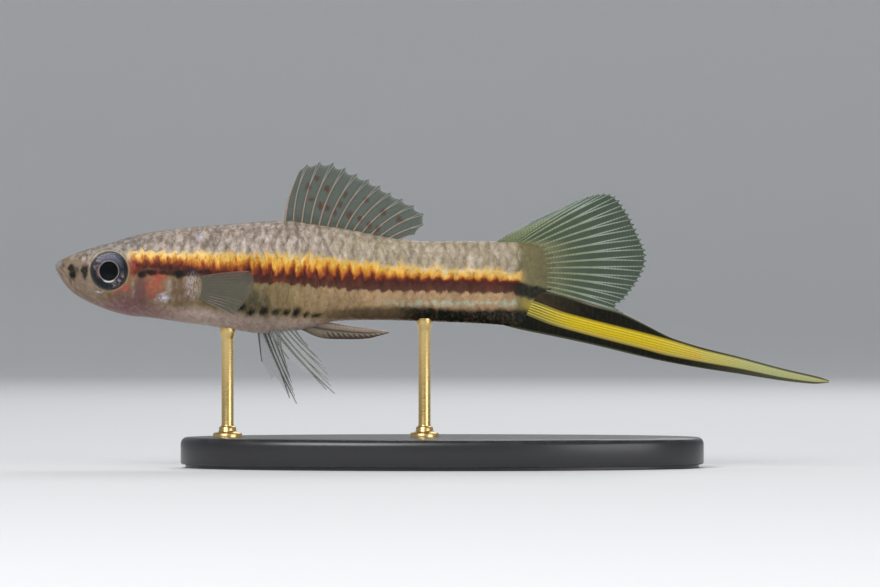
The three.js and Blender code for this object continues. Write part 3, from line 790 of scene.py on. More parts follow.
def ray_material(nodes, ray, joint, tip):
    """Fin rays: pale and clear as glass, with a ring of its own colour at each joint and a paler tip. On the
    tail fin that joint colour is pale, a painted glint.
    """
    grain = nodes.grain(0.5, 1.4)
    base = nodes.layers(
        ray,
        (tip, "tip"),
        (joint, "joint", 0.7),
        (colours().spot, "spot"),
    )
    base = nodes.shade(base, nodes.ramp(grain, [(0.2, (0.75, 0.75, 0.75)), (0.75, WHITE)])[0])
    nodes.finish(
        Base_Color=base, Alpha=nodes.mark("dense"), Roughness=0.34, Coat_Weight=0.08,
        Coat_Roughness=0.1, Specular_IOR_Level=0.2,
    )
    nodes.bump(grain, 0.01, 0.4)


def sword_material(nodes, tint):
    """Bright yellow with fine ray lines between black margins, paler and greener towards the tip. The ray
    crests carry a painted highlight, the grooves between them painted shade, and the margins' outer edges a
    pale painted highlight.
    """
    grain = nodes.grain(0.6, 1.5)
    gold = nodes.lay(tint.gold, tint.gold_tip, "tip")
    gold = nodes.layers(
        gold,
        (GOLD_LOW, "low", 0.6),
        (GOLD_FLUSH, nodes.between(nodes.grain(4.0, 2.2), 0.5, 0.85), 0.6),
        # Dark orange-brown in the grooves between the rays: painted shade
        (GROOVE_SHADE, "groove", 0.8),
        (GOLD_ROOT, "olive"),
        # Pale yellow on the ray crests: a painted highlight
        (CREST_HIGHLIGHT, "crest", 0.4),
    )
    black = nodes.lay(tint.ink, BROWN_INK, nodes.between(grain, 0.35, 0.75))
    # Paler grey towards the tip, where the margins turn glassy, and along the margins' outer edges as a
    # painted highlight
    black = nodes.lay(black, GLASSY_INK_AND_EDGE_HIGHLIGHT, "glassy", 0.7)
    black = nodes.lay(black, ROOT_INK, "root", nodes.between(grain, 0.2, 0.7, 0.5, 1.0))
    base = nodes.lay(black, gold, "gold")
    base = nodes.lay(base, SWORD_JOINT, "joint", 0.12)
    roughness = nodes.between(grain, 0.2, 0.8, 0.34, 0.5)
    nodes.finish(Base_Color=base, Roughness=roughness, Specular_IOR_Level=0.04)
    nodes.bump(grain, 0.015, 0.4)


def iris_material(nodes, tint):
    """Dark iris with a lavender sheen on top, a pink patch in front, and a silver ring round the pupil."""
    grain = nodes.grain(0.35, 1.8)
    base = nodes.lay(tint.iris, tint.iris_sheen, "sheen", nodes.between(grain, 0.2, 0.7, 0.5, 1.0))
    base = nodes.layers(
        base,
        (IRIS_FLECK, "flecks", nodes.between(grain, 0.45, 0.7, 0.0, 0.95)),
        (IRIS_PINK, "pink", grain),
        (IRIS_EDGE, "rim"),
        (tint.silver, "ring"),
        (EYE_GLINT, "glint"),
    )
    metal = nodes.math("MAXIMUM", nodes.mark("ring"), nodes.times(nodes.mark("sheen"), 0.6))
    nodes.finish(
        Base_Color=base, Metallic=metal, Roughness=nodes.between(grain, 0.2, 0.8, 0.25, 0.45),
        Specular_IOR_Level=0.08,
    )
    fibres = nodes.math("SINE", nodes.times(nodes.mark("turn"), 60.0))
    nodes.bump(nodes.plus(fibres, grain), 0.012, 0.5)


def pupil_material(nodes):
    base = nodes.mix(nodes.grain(0.6, 1.0), (0.002, 0.003, 0.004), (0.008, 0.01, 0.012))
    nodes.finish(Base_Color=base, Roughness=0.15, Specular_IOR_Level=0.01)


def cornea_material(nodes):
    nodes.finish(Base_Color=(0.98, 0.99, 1.0), Roughness=0.0, IOR=1.14, Transmission_Weight=1.0)


def brass_material(nodes, tint):
    """Brushed brass: fine rings round the rod and slight darkening."""
    place = nodes.add("TexCoord", {}).outputs["Object"]
    stretched = nodes.add("Mapping", {"Vector": place, "Scale": (0.6, 0.6, 30.0)}).outputs["Vector"]
    brushed = nodes.noise(stretched, 500.0, 2.0, 0.5)
    base = nodes.lay(tint.brass, TARNISH, nodes.grain(1.2, 1.4), 0.25)
    nodes.finish(Base_Color=base, Metallic=1.0, Roughness=nodes.between(brushed, 0.3, 0.7, 0.2, 0.38))
    nodes.bump(brushed, 0.0015, 0.3)


def lacquer_material(nodes, tint):
    """Satin black lacquer with a faint orange peel and a thin rubbed edge."""
    peel = nodes.group("fine grain", 1.6, 1.2)
    rubbed = nodes.times(nodes.mark("edge"), nodes.between(peel["Value"], 0.4, 0.7))
    base = nodes.lay(tint.lacquer, RUBBED_EDGE, rubbed, 0.35)
    nodes.finish(
        Base_Color=base, Roughness=nodes.between(peel["Value"], 0.2, 0.8, 0.28, 0.4),
        Coat_Weight=0.25, Coat_Roughness=0.2,
    )
    nodes.bump(peel["Height"], 0.006, 0.3)


def floor_material(nodes, tint):
    paler = tuple(min(1.0, value * 1.04) for value in tint.floor)
    base = nodes.lay(tint.floor, paler, nodes.grain(40.0, 0.6))
    nodes.finish(Base_Color=base, Roughness=0.75)


# Where the colours lie on the body

FIRST_SCALE = 11.0  # where the count of scales along the stripe starts
stripe_top = profile([
    (9, 4.1), (24, 3.95), (31.8, 3.75), (35, 3.4), (38, 3.1), (44.8, 2.45), (50, 2.1), (58, 1.55), (61, 1.3),
])
stripe_middle = profile([
    (9, 2.6), (12, 2.7), (16, 2.5), (20, 1.9), (25, 1.5), (31.8, 1.3), (37, 1.0), (42, 0.7), (50, 0.55),
    (58, 0.3), (61, 0.0),
])
stripe_bottom = profile([
    (9, 1.1), (19, 0.85), (24.5, 0.15), (28, 0.05), (32, -0.15), (35.2, -0.45), (39.9, -0.8), (44.8, -1.0),
    (50, -1.05), (58, -1.25), (61, -1.4),
])

# Black marks: s, h, half length, half height and strength
INK_SPOTS = [
    (1.2, 2.2, 0.2, 0.3, 0.5), (2.25, 1.85, 0.5, 0.5, 1.0), (2.5, 1.1, 0.48, 0.65, 1.0),
    (2.2, 0.3, 0.16, 0.6, 0.5), (2.95, 1.7, 0.35, 0.4, 0.6), (3.98, 1.5, 0.42, 0.95, 1.0),
    (11.5, 1.05, 0.5, 0.55, 1.0), (12.7, 1.4, 0.9, 0.28, 0.9), (14.3, 1.3, 0.7, 0.25, 0.75),
    (16.2, 1.1, 0.8, 0.5, 1.0), (17.9, 1.35, 0.9, 0.4, 0.9), (15.2, 2.0, 0.3, 0.25, 0.5),
    (19.5, 1.45, 0.7, 0.3, 0.8), (25.5, 1.3, 0.3, 0.9, 0.5),
]
LOW_SPOTS = [
    (24.1, -3.2, 0.5, 0.6, 1.0), (25.4, -3.75, 0.55, 0.5, 1.0), (27.1, -3.65, 0.55, 0.6, 1.0),
    (28.8, -3.75, 0.55, 0.5, 0.95), (30.1, -3.75, 0.5, 0.5, 1.0), (31.4, -3.8, 0.52, 0.65, 1.0),
    (32.8, -4.0, 0.5, 0.42, 1.0), (34.2, -4.15, 0.7, 0.32, 1.0),
]
LOW_SPOT_LEAN = 0.45
# The dark band along the rear of the belly: places, and the heights of its lower and upper edge
BAND_PLACES = (34, 38, 46, 54, 60, 62)
BAND_LOW = (-4.6, -4.55, -4.75, -5.1, -5.75, -6.2)
BAND_HIGH = (-3.9, -3.5, -3.25, -3.75, -3.6, -3.7)
# The height below which the belly's own colour starts
UNDER_PLACES = (0, 8, 12, 18, 24, 30, 36, 40, 66)
UNDER_HEIGHTS = (-1.6, -2.4, -2.9, -3.3, -4.1, -4.7, -5.0, -5.3, -6.5)
TURQUOISE_SPOTS = {
    "first": 42.2, "last": 59.8, "h": -2.6, "half_length": 0.42, "half_height": 0.34, "pitch": 1.02,
}
GLINTS = {"first": 46.5, "last": 58, "h": 1.6, "half_length": 0.26, "half_height": 0.26, "pitch": 1.5}
EYE_PLACE = (7.18, 1.55)
# Dark line into the sword's upper margin
REAR_LINE = [(58.5, -0.55), (60, -0.75), (63, -1.4), (65.1, -2.2), (70, -3.9)]
ROOT_FADE = (61.8, 68)  # where the flesh of the tail's root gives way to the fin's web
SWORD_RAYS = 6
GILL_OUTLINE = [
    (10.75, 1.2), (13.3, 1.8), (15.1, 1.1), (15.6, -0.5), (15.2, -2.2), (14.1, -3.4), (12.4, -3.9),
    (10.9, -3.2), (10.2, -1.1),
]
GILL_RED = [
    (13.3, -0.1, 1.2, 1.4, 0.9), (13.9, 0.75, 0.9, 0.5, 1.0), (12.9, -1.2, 0.7, 0.8, 0.8),
]
CHEEK_ORANGE = [
    (9.3, -0.6, 0.6, 0.42, 0.9), (10.15, 2.0, 0.42, 1.3, 0.7), (10.0, 0.6, 0.3, 0.6, 0.6),
    (8.2, -1.15, 0.6, 0.2, 0.5), (12.1, 1.0, 1.6, 0.25, 0.5),
]
PEARL_MARKS = [
    (14.35, -1.85, 0.75, 0.5, 1), (13.4, -2.2, 0.5, 0.25, 0.5), (14.95, -0.5, 0.3, 0.9, 0.35),
    (5.9, -1.15, 0.5, 0.12, 0.9), (10.25, -0.5, 0.18, 1.2, 0.22), (4.6, 2.5, 0.12, 0.6, 0.3),
    (17.7, 0.55, 0.4, 0.3, 0.4), (18.9, 6.05, 0.36, 0.42, 0.75),
]
MOUTH_LINE = [(0.1, 2.5), (0.85, 1.75), (1.55, 0.8)]
JAW_FOLD = [(1.55, 0.8), (2.3, -0.55), (3.8, -1.65), (5.4, -2.5), (6.6, -3.3)]
CHEEK_FOLD = [(9.6, 3.4), (10.15, 1.8), (9.95, 0.2), (10.0, -1.4), (10.7, -3.0), (12.2, -4.0)]
NOSTRILS = [(3.35, 3.25, 0.2), (4.25, 3.6, 0.17)]  # s, h and radius


def inside_gill(s, h):
    """How far inside the gill cover's outline a place is, negative outside it."""
    corners = np.array(GILL_OUTLINE)
    middle = corners.mean(0)
    turn = np.arctan2(*(corners - middle).T[::-1])
    order = np.argsort(turn)
    radius = np.linalg.norm(corners - middle, axis=1)
    here = np.arctan2(h - middle[1], s - middle[0])
    edge = np.interp(here, turn[order], radius[order], period=2 * math.pi)
    return edge - np.hypot(s - middle[0], h - middle[1])


def tooth(phase):
    """A flame's edge that rises faster and faster and then drops, from -0.4 to 0.6, once for each scale."""
    part = np.mod(phase, 1)
    return np.where(part < 0.8, (part / 0.8) ** 1.6, (1 - part) / 0.2) - 0.4


def row_spots(s, h, row, strength):
    """A row of like spots that vary a little."""
    draw = np.random.default_rng(7)
    spots = []
    for place in np.arange(row["first"], row["last"], row["pitch"]):
        size = draw.uniform(0.75, 1.2)
        spots.append((
            place + draw.normal(0, 0.08), row["h"] + draw.normal(0, 0.08), row["half_length"] * size,
            row["half_height"] * draw.uniform(0.8, 1.2), strength * draw.uniform(0.7, 1.0),
        ))
    return patches(s, h, spots, 0.5)


def above_stripe(h, middle):
    return step(h, middle + 0.2, middle + 0.8)


def stripe_marks(s, h, plain_s, plain_h):
    """The stripe as one value, 0 to 1 over its dark line and 1 to 2 over its flames, and the line between."""
    phase = (s - FIRST_SCALE) / PITCH
    flames = 0.3 + 1.15 * step(s, 22, 25) * step(s, 45, 38)
    top = stripe_top(s) + 0.35 * tooth(phase + 0.5)
    top = top + 0.5 * cloud(plain_s, plain_h, 1.1, 51) * step(s, 36, 46)
    bottom = stripe_bottom(s) - 0.28 * tooth(-phase + 0.3)
    middle = np.maximum(stripe_middle(s) + flames * tooth(phase), bottom + 0.25)
    top = np.maximum(top, middle + 0.5)
    stripe = np.where(h < middle, (h - bottom) / (middle - bottom), 1 + (h - middle) / (top - middle))
    # Each flame turns from yellow towards orange and brown over the rear part of each scale's rhythm
    flame_rear_darkening = hump(np.mod(phase, 1), 0.7, 0.2) * (0.5 + 0.5 * step(s, 22, 26)) * step(stripe, 1.95, 1.6)
    stripe = np.where(stripe > 1, 1 + (stripe - 1) * (1 - 0.5 * flame_rear_darkening), stripe)
    rear_stripe = 1 + np.maximum(stripe - 1, 0) ** (1 - 0.5 * step(s, 38, 50))
    return np.where(stripe > 1, rear_stripe, stripe), middle


def stripe_zone(s, h):
    """1 where the stripe is drawn, from behind the eye to the tail's root."""
    zone = step(s, 8.9, 10.6) * step(s, 61.5, 59.8) * (1 - patch(s, h, EYE_PLACE, (2.7, 2.7), 0.05))
    return zone * (1 - (1 - step(s, 9, 22)) * step(h, 1.3, 0.7))


def root_gold(s, h):
    """The sword's yellow rays, where they start in the flesh of the tail's root."""
    low, high = gold_lower(s), gold_upper(s)
    gold = step(s, 59.8, 61.6) * step(h, low - 0.15, low + 0.2)
    gold = gold * step(h, high + 0.25, high - 0.1)
    line = np.abs(np.cos(math.pi * SWORD_RAYS * (h - low) / (high - low)))
    return gold * (0.1 + 0.4 * step(line, 0.3, 0.95))


def ink_marks(s, h, gold):
    """Black spots, the dark band along the belly's rear, and the dark lines that run into the sword."""
    ink = patches(s, h, INK_SPOTS, 0.45)
    ink = np.maximum(ink, patches(s - LOW_SPOT_LEAN * (h + 3.8), h, LOW_SPOTS, 0.5))
    low, high = np.interp(s, BAND_PLACES, BAND_LOW), np.interp(s, BAND_PLACES, BAND_HIGH)
    band = step(h, low - 0.25, low + 0.15) * step(h, high + 0.6, high - 0.1)
    strength = 0.3 + 0.4 * step(s, 34, 40) + 0.3 * step(s, 42, 48)
    ink = np.maximum(ink, band * strength * step(s, 32, 37))
    rear_line, _ = line_distance(s, h, REAR_LINE)
    ink = np.maximum(ink, 0.95 * step(s, 58.6, 60.6) * step(rear_line, 1.15, 0.7)) * (1 - gold)
    return np.maximum(ink, step(s, 60.0, 61.2) * step(h, gold_lower(s) + 0.1, gold_lower(s) - 0.2))


def eye_rim_and_highlight(s, h):
    """Pale rings round the eye, strongest above it, where they carry a painted highlight."""
    from_eye = np.hypot(s - EYE_PLACE[0], h - EYE_PLACE[1])
    over_eye = step(h - EYE_PLACE[1], 0.3, 2.0)
    return (0.2 + 0.5 * over_eye) * hump(from_eye, 2.66, 0.08) + 0.5 * over_eye * hump(from_eye, 3.05, 0.1)


def wander(value, s, h, seed):
    """A value that wanders a little from place to place, so that no colour ends on a drawn line."""
    return value + 0.16 * cloud(s, h, 0.55, seed) + 0.07 * cloud(s, h, 0.22, seed + 1)


def body_marks(s, h):
    """Where each colour lies, at places in the side view."""
    plain_s, plain_h = s, h
    s = wander(plain_s, plain_s, plain_h, 21)
    h = wander(plain_h, plain_s, plain_h, 23)
    stripe, middle = stripe_marks(s, h, plain_s, plain_h)
    above = above_stripe(h, middle)
    gold = root_gold(s, h)
    cloudy = 0.75 + 0.35 * cloud(plain_s, plain_h, 0.45, 31)
    fleck = 0.55 + 0.6 * cloud(plain_s, plain_h, 0.24, 32)
    in_gill = step(inside_gill(s, h), 0.0, 0.3)
    blush = 0.95 * cloudy * patches(s, h, GILL_RED, 0.6) * in_gill
    pearl = np.clip(fleck, 0.2, 1) * patches(s, h, PEARL_MARKS, 0.8)
    beat = (s - FIRST_SCALE) / PITCH + 0.12 * cloud(plain_s, plain_h, 1.3, 41)
    bars = above * step(0.5 + 0.5 * np.cos(2 * math.pi * beat), 0.35, 1.0)
    bars = bars * (0.65 + 0.45 * cloud(plain_s, plain_h, 0.8, 42))
    under_line = np.interp(s, UNDER_PLACES, UNDER_HEIGHTS)
    # A thin pale line along the lower edge of the rear belly: a painted highlight, laid on with the belly's
    # colour
    lit_belly_edge = step(h, belly(s) + 0.22, belly(s) + 0.06) * step(s, 33, 40) * step(s, 57, 54)
    return {
        "stripe": np.clip(stripe, STRIPE_LOW, STRIPE_HIGH),
        "stripe_zone": stripe_zone(s, h),
        "rear": step(s, 25, 44),
        "above": above,
        "under": np.maximum(step(h, under_line + 0.8, under_line - 0.6), 0.8 * lit_belly_edge),
        "throat": step(s, 20, 12),
        "mauve": 0.75 * patch(s, h, (10.0, -2.2), (2.9, 1.35), 0.7),
        "gill": 0.9 * patch(s, h, (11.4, -0.65), (1.0, 1.7), 0.55) * in_gill,
        "gold": gold,
        "rim": eye_rim_and_highlight(plain_s, plain_h),
        "snout": step(s, 7.5, 4.8) * step(h, 4.2, 2.2),
        "crown": 0.75 * step(s, 15, 9.5) * step(h, 2.6, 4.2),
        "tail_root": step(s, 59.2, 60.6),
        "finned": 0.9 * step(s, ROOT_FADE[0], ROOT_FADE[1]),
        "bars": np.clip(bars, 0, 1) * step(s, 11, 15) * step(s, 62, 57),
        "moss": 0.62 * patch(s, h, (26.2, -2.2), (1.5, 1.2), 0.6),
        "earth": 0.95 * patch(s, h, (16.6, -1.2), (1.4, 2.1), 0.5),
        "striae": 0.9 * patch(s, h, (18.05, -0.5), (1.0, 1.6), 0.5),
        "bright": np.maximum(step(s, 25, 16), 0.6 * step(s, 40, 50)),
        "lips": 0.8 * step(s, 1.1, 0.35) * step(h, 1.6, 2.4),
        "blush": np.maximum(blush, cloudy * patches(s, h, CHEEK_ORANGE, 0.7)),
        "ink": ink_marks(s, h, gold),
        "pearl": np.maximum(pearl, row_spots(s, h, GLINTS, 0.35)),
        "turquoise": row_spots(s, h, TURQUOISE_SPOTS, 0.85) * (0.45 + 0.55 * step(s, 43, 48)),
    }


def head_relief(s, h):
    """How far the skin stands out from the plain body shape round the mouth, nostrils, eye and gill cover."""
    mouth, place = line_distance(s, h, MOUTH_LINE)
    fold, fold_place = line_distance(s, h, JAW_FOLD)
    cheek, _ = line_distance(s, h, CHEEK_FOLD)
    lift = -0.12 * hump(mouth, 0, 0.09) * step(s, 0.1, 0.5)
    lift += 0.07 * hump(mouth, 0.3, 0.16) * step(place, 2, 1.2) * step(s, 0.1, 0.6)
    lip = 0.05 * hump(fold, 0.3, 0.15) * step(s, 6, 3)
    lift += -0.13 * hump(fold, 0, 0.12) * step(fold_place, 4, 2) + lip
    lift += -0.07 * hump(cheek, 0, 0.14) + 0.04 * hump(cheek, 0.35, 0.2)
    for nostril_s, nostril_h, radius in NOSTRILS:
        distance = np.hypot(s - nostril_s, h - nostril_h)
        wall = 0.07 * hump(distance, radius * 1.5, radius * 0.5)
        lift += -0.3 * step(distance, radius * 1.25, radius * 0.6) + wall
    inside = inside_gill(s, h)
    lift += 0.08 * step(inside, -0.1, 0.2) * step(s, 11, 13.5) - 0.045 * hump(inside, -0.14, 0.2)
    lift += 0.05 * hump(s, 13.2, 0.8) * hump(h, -0.6, 1.4)
    lift = lift * step(s, 19, 17)
    return lift + 0.36 * hump(s, 18.4, 1.1) * hump(h, -0.7, 1.45)


class EyeFrame:
    """The eye's own axes: out of the head, back along it and up."""

    OUTWARD = 0.25  # how much more the eye faces to its side than the skin there does

    def __init__(self, side):
        place = body.share_at(*EYE_PLACE)
        centre, out = body.read(np.array([EYE_PLACE[0]]), np.array([place]), side)
        self.centre = centre[0]
        out = out[0] + self.OUTWARD * side * SIDEWAYS
        self.out = out / np.linalg.norm(out)
        along = np.array([1.0, 0, 0]) - self.out * self.out[0]
        self.along = along / np.linalg.norm(along)
        self.up = np.cross(self.out, self.along) * -side
        self.up *= np.sign(self.up[2])

    def place(self, radius, turn, height, shift=0.0):
        """Points at a radius and turn round the eye's axis, at a height out of the head."""
        along = radius * np.cos(turn) + shift
        up = radius * np.sin(turn)
        return (
            self.centre + np.multiply.outer(along, self.along) + np.multiply.outer(up, self.up)
            + np.multiply.outer(height * np.ones_like(turn), self.out)
        )


SOCKET_DEPTH = 1.5
SOCKET_REACH = -2.5  # the skin further in than this belongs to the other side
RIM_HEIGHT = 0.09
FOLD_HEIGHT = 0.06


def cut_socket(points, eye, radius):
    """Sinks the skin inside the eye's radius, and raises a thin rim and a fold over the eye."""
    offset = points - eye.centre
    height = offset @ eye.out
    flat = offset - height[..., None] * eye.out
    distance = np.linalg.norm(flat, axis=-1)
    near = height > SOCKET_REACH
    rim = RIM_HEIGHT * hump(distance, radius + 0.17, 0.11)
    rim += FOLD_HEIGHT * hump(distance, radius + 0.52, 0.13) * step(flat @ eye.up, -0.3, 1.4)
    inside = step(distance, radius + 0.04, radius - 0.16)
    sunk = np.minimum(height, -SOCKET_DEPTH)
    moved = np.where(near, rim * step(distance, radius - 0.1, radius) + inside * (sunk - height), 0)
    return points + moved[..., None] * eye.out


# Fins: where a fin's points are, at u from root to tip and v across its rays


def fan(roots, tips, bow):
    """Rays that fan from a root curve to a tip curve, each bowed by a share of its length."""
    root, tip = smooth_line(roots), smooth_line(tips)

    def spine(u, v):
        root_s, root_h = root(v)
        tip_s, tip_h = tip(v)
        run_s, run_h = tip_s - root_s, tip_h - root_h
        bend = 4 * bow * u * (1 - u)
        return root_s + run_s * u - run_h * bend, root_h + run_h * u + run_s * bend

    return spine


def blade(lower, upper, start, end):
    """Rays that run side by side between a lower and an upper edge."""
    low, high = profile(lower), profile(upper)

    def spine(u, v):
        s = start + (end - start) * u
        return s, low(s) + (high(s) - low(s)) * v

    return spine


class Fin:
    """A fin's shape and the two kinds of piece made from it, its web and its rays."""

    WEB_COLUMNS = 8  # between two rays
    WEB_ROWS = 30
    RAY_SIDES = 6
    RINGS_PER_JOINT = 4
    BILLOW = 0.05  # how far the web swings out between two rays
    DEPTH = 1.25  # of a ray across the web, for a width of 1 along it
    TAPER = 0.6  # of a ray's radius, lost on the way to its tip
    NECK = 0.72  # of a ray's radius, left at its joints
    POINT = 0.35  # of a ray's radius, left at its very tip
    WIDE_FORK = 0.2  # from this spread on, the web's edge reaches out to both branches of a ray

    def __init__(self, spine, rays, notch, seed, outward=None, normal=(0, 1, 0), ragged=0.5, swell=0.1,
                 breadth=1.0, fork=0.24, pale_edge=0.0):
        self.spine = spine
        self.rays = rays
        self.notch = notch
        self.outward = outward
        self.normal = np.array(normal, float)
        self.swell = swell
        self.breadth = breadth
        self.fork = fork
        self.pale_edge = pale_edge
        draw = np.random.default_rng(seed)
        self.web_share = 1 - draw.uniform(0, ragged, rays - 1) * notch
        self.reach = 1 - draw.uniform(0, ragged, rays) * notch * 0.5

    def place(self, u, v):
        """Points in the middle of the web, which billows to either side in turn."""
        s, h = np.broadcast_arrays(*self.spine(u, v))
        left, between = self.between_rays(np.asarray(v, float))
        billow = self.BILLOW * np.sin(math.pi * between) * u * (-1.0) ** left
        return np.stack([s, self.outward(s, h, u, v), h], -1) + self.normal * billow[..., None]

    def between_rays(self, v):
        """The ray before each place v, and the share of the way from it to the next."""
        ray_place = np.clip(v, 0, 1) * (self.rays - 1)
        left = np.minimum(ray_place.astype(int), self.rays - 2)
        return left, ray_place - left

    def edge(self, v):
        """How far along the rays the web reaches at v: furthest at the tips of rays and branches."""
        left, between = self.between_rays(v)
        reach = self.reach[left] * (1 - between) + self.reach[left + 1] * between
        if self.fork > self.WIDE_FORK:
            sag = np.abs(np.cos(2 * math.pi * between)) ** 0.7
        else:
            sag = np.sin(math.pi * between) ** 0.7
        return reach - self.notch * sag * self.web_share[left]

    def web(self, piece, half, marks):
        """The thin web, with the marks that marks(s, h, u, v, between) gives at each place."""
        rows = np.linspace(0, 1, self.WEB_ROWS)[:, None]
        v = np.linspace(0, 1, (self.rays - 1) * self.WEB_COLUMNS + 1)
        between = self.between_rays(v)[1]
        u = rows * self.edge(v)[None, :]
        v = np.broadcast_to(v, u.shape)
        middle = self.place(u, v)
        thick = half + self.swell * (1 - u) ** 5
        none = 0 * u
        values = {"root": none, "spot": none, "margin": self.pale_edge * step(rows, 0.94, 1.0) + none}
        values.update(marks(middle[..., 0], middle[..., 2], u, v, between[None, :] + none))
        add_plate(piece, middle, self.normal * thick[..., None], values)

    def tube(self, piece, u, v, radius, marks):
        """One ray or branch along u at places v."""
        line = self.place(u, v)
        run = unit(np.gradient(line, axis=0))
        across = unit(np.cross(run, self.normal))
        turn = circle(self.RAY_SIDES)
        wide = (1 + (self.breadth - 1) * u) * radius
        points = (
            line[:, None] + wide[:, None, None] * np.cos(turn)[None, :, None] * across[:, None]
            + self.DEPTH * radius[:, None, None] * np.sin(turn)[None, :, None] * self.normal
        )
        values = {name: np.repeat(value, self.RAY_SIDES) for name, value in marks.items()}
        piece.add(points, tube_faces(len(u), self.RAY_SIDES), **values)

    def ray(self, piece, index, radius, joint, branches, marks, first_joint):
        """One ray with its branches. branches holds the shares of the length at which it splits in two."""
        v0 = index / (self.rays - 1)
        spread = 1 / (self.rays - 1) * self.fork * np.array([1, 0.5])[: len(branches)]
        for number in range(2 ** len(branches)):
            signs = [1 if number >> level & 1 else -1 for level in range(len(branches))]
            forks = [at for at, sign in zip(branches, signs) if sign > 0]
            begin = max(forks, default=0.0)
            ends = float(self.edge(v0 + np.sum(signs * spread)))
            span = np.linalg.norm(np.diff(self.place(np.array([begin, ends]), np.full(2, v0)), axis=0)) + 1e-6
            rings = max(int(span / joint * self.RINGS_PER_JOINT), 6)
            u = np.linspace(begin, ends, rings)
            v = np.full(rings, v0)
            thinner = np.ones(rings)
            for level, at in enumerate(branches):
                grown = np.clip((u - at) / (1 - at), 0, 1) ** 0.85
                v = v + signs[level] * spread[level] * grown
                thinner = thinner * (1 - 0.25 * step(u, at - 0.01, at + 0.04))
            v = np.clip(v, 0, 1)
            steps = np.linalg.norm(np.diff(self.place(u, v), axis=0), axis=1)
            run = np.concatenate([[0], np.cumsum(steps)])
            jointed = (np.mod(run / joint + begin * 3.7, 1) < 0.26) & (u > first_joint)
            size = radius * (1 - self.TAPER * u) * thinner * np.where(jointed, self.NECK, 1.0)
            size[-1] *= self.POINT
            values = {"spot": 0 * u, **marks(u, v, jointed.astype(float), self.place(u, v))}
            self.tube(piece, u, v, size, values)


def spread_fin(name, fin, node, materials, web_marks, ray_marks, radius, branch_at, first_joint=0.3):
    """Makes a fin's web and its rays as two pieces that stand for the same node."""
    web, rays = Piece(), Piece()
    fin.web(web, sizes().web_half / MM, web_marks)
    for index in range(fin.rays):
        inner = 0 < index < fin.rays - 1
        branches = [branch_at] if inner else []
        fin.ray(rays, index, radius(index), sizes().joint_pitch / MM, branches, ray_marks, first_joint)
    hand_in(web.make(name + "_web", materials[0]), "fin", node)
    hand_in(rays.make(name + "_rays", materials[1]), "fin", node)


# Pieces


class SWORDTAIL_OT_skin(Operator):
    """Make the one skin of head, trunk and tail stalk, with mouth, nostrils, eye sockets and gill covers"""

    bl_idname = "swordtail.skin"
    bl_label = "Skin"

    AROUND = 132  # vertices from the back to the belly on one side

    def execute(self, context):
        # Rings stand closest round the mouth and the eye
        stations = np.concatenate([
            np.linspace(math.sqrt(SNOUT_FLAT), 1, 26)[:-1] ** 2,
            np.arange(1, 4.5, 0.055),
            np.arange(4.5, 17, 0.1),
            np.arange(17, 58, 0.28),
            np.linspace(58, SKIN_END, 40),
        ])
        shares = np.linspace(0, 1, self.AROUND)
        s_grid, share_grid = np.meshgrid(stations, shares, indexing="ij")
        halves = []
        for side in (1, -1):
            plain, out = body.read(s_grid, share_grid, side)
            lift = head_relief(plain[..., 0], plain[..., 2])
            edge_on = np.abs(out[..., 1]) + step(plain[..., 0], 2, 1)
            points = plain + out * (lift * np.clip(edge_on * 1.5, 0, 1))[..., None]
            halves.append(cut_socket(points, EyeFrame(side), sizes().eye_radius / MM))
        ring = np.concatenate([halves[0], halves[1][:, -2:0:-1]], axis=1)
        plain = body.read(s_grid, share_grid, 1)[0]
        flat = np.concatenate([plain, plain[:, -2:0:-1]], axis=1)
        values = body_marks(flat[..., 0], flat[..., 2])
        rows, columns = ring.shape[:2]
        piece = Piece()
        none = {name: 0.0 * flat[..., 0].ravel() for name in ("streak", "net")}
        piece.add(ring, tube_faces(rows, columns), **{k: v.ravel() for k, v in values.items()}, **none)
        skin = piece.make("fish_skin", keep("swordtail skin", skin_material, colours()), math.radians(75))
        hand_in(
            skin, "skin", "head", "lower_jaw", "torso", "tail_stalk", "gill_cover_left", "gill_cover_right"
        )
        return {"FINISHED"}


class ScalePlate:
    """One scale round its middle: its grid of points, backwards along the fish and across, and its faces."""

    RINGS = (0.3, 0.55, 0.78, 0.92, 1.0)
    SPOKES = 22

    def __init__(self):
        turn = circle(self.SPOKES)
        self.along = np.concatenate([[0.0]] + [radius * np.cos(turn) for radius in self.RINGS])
        self.across = np.concatenate([[0.0]] + [radius * np.sin(turn) for radius in self.RINGS])
        self.ring = np.hypot(self.along, self.across)
        count = len(self.along)
        first = [[0, 1 + k, 1 + (k + 1) % self.SPOKES] for k in range(self.SPOKES)]
        top = first + [
            [1 + corner for corner in (quad[0], quad[3], quad[2], quad[1])]
            for quad in grid_faces(len(self.RINGS), self.SPOKES, closed=True)
        ]
        bottom = [[corner + count for corner in face[::-1]] for face in top]
        outer = count - self.SPOKES
        rim = []
        for k in range(self.SPOKES):
            here, after = outer + k, outer + (k + 1) % self.SPOKES
            rim.append([after, here, here + count, after + count])
        self.faces = top + bottom + rim


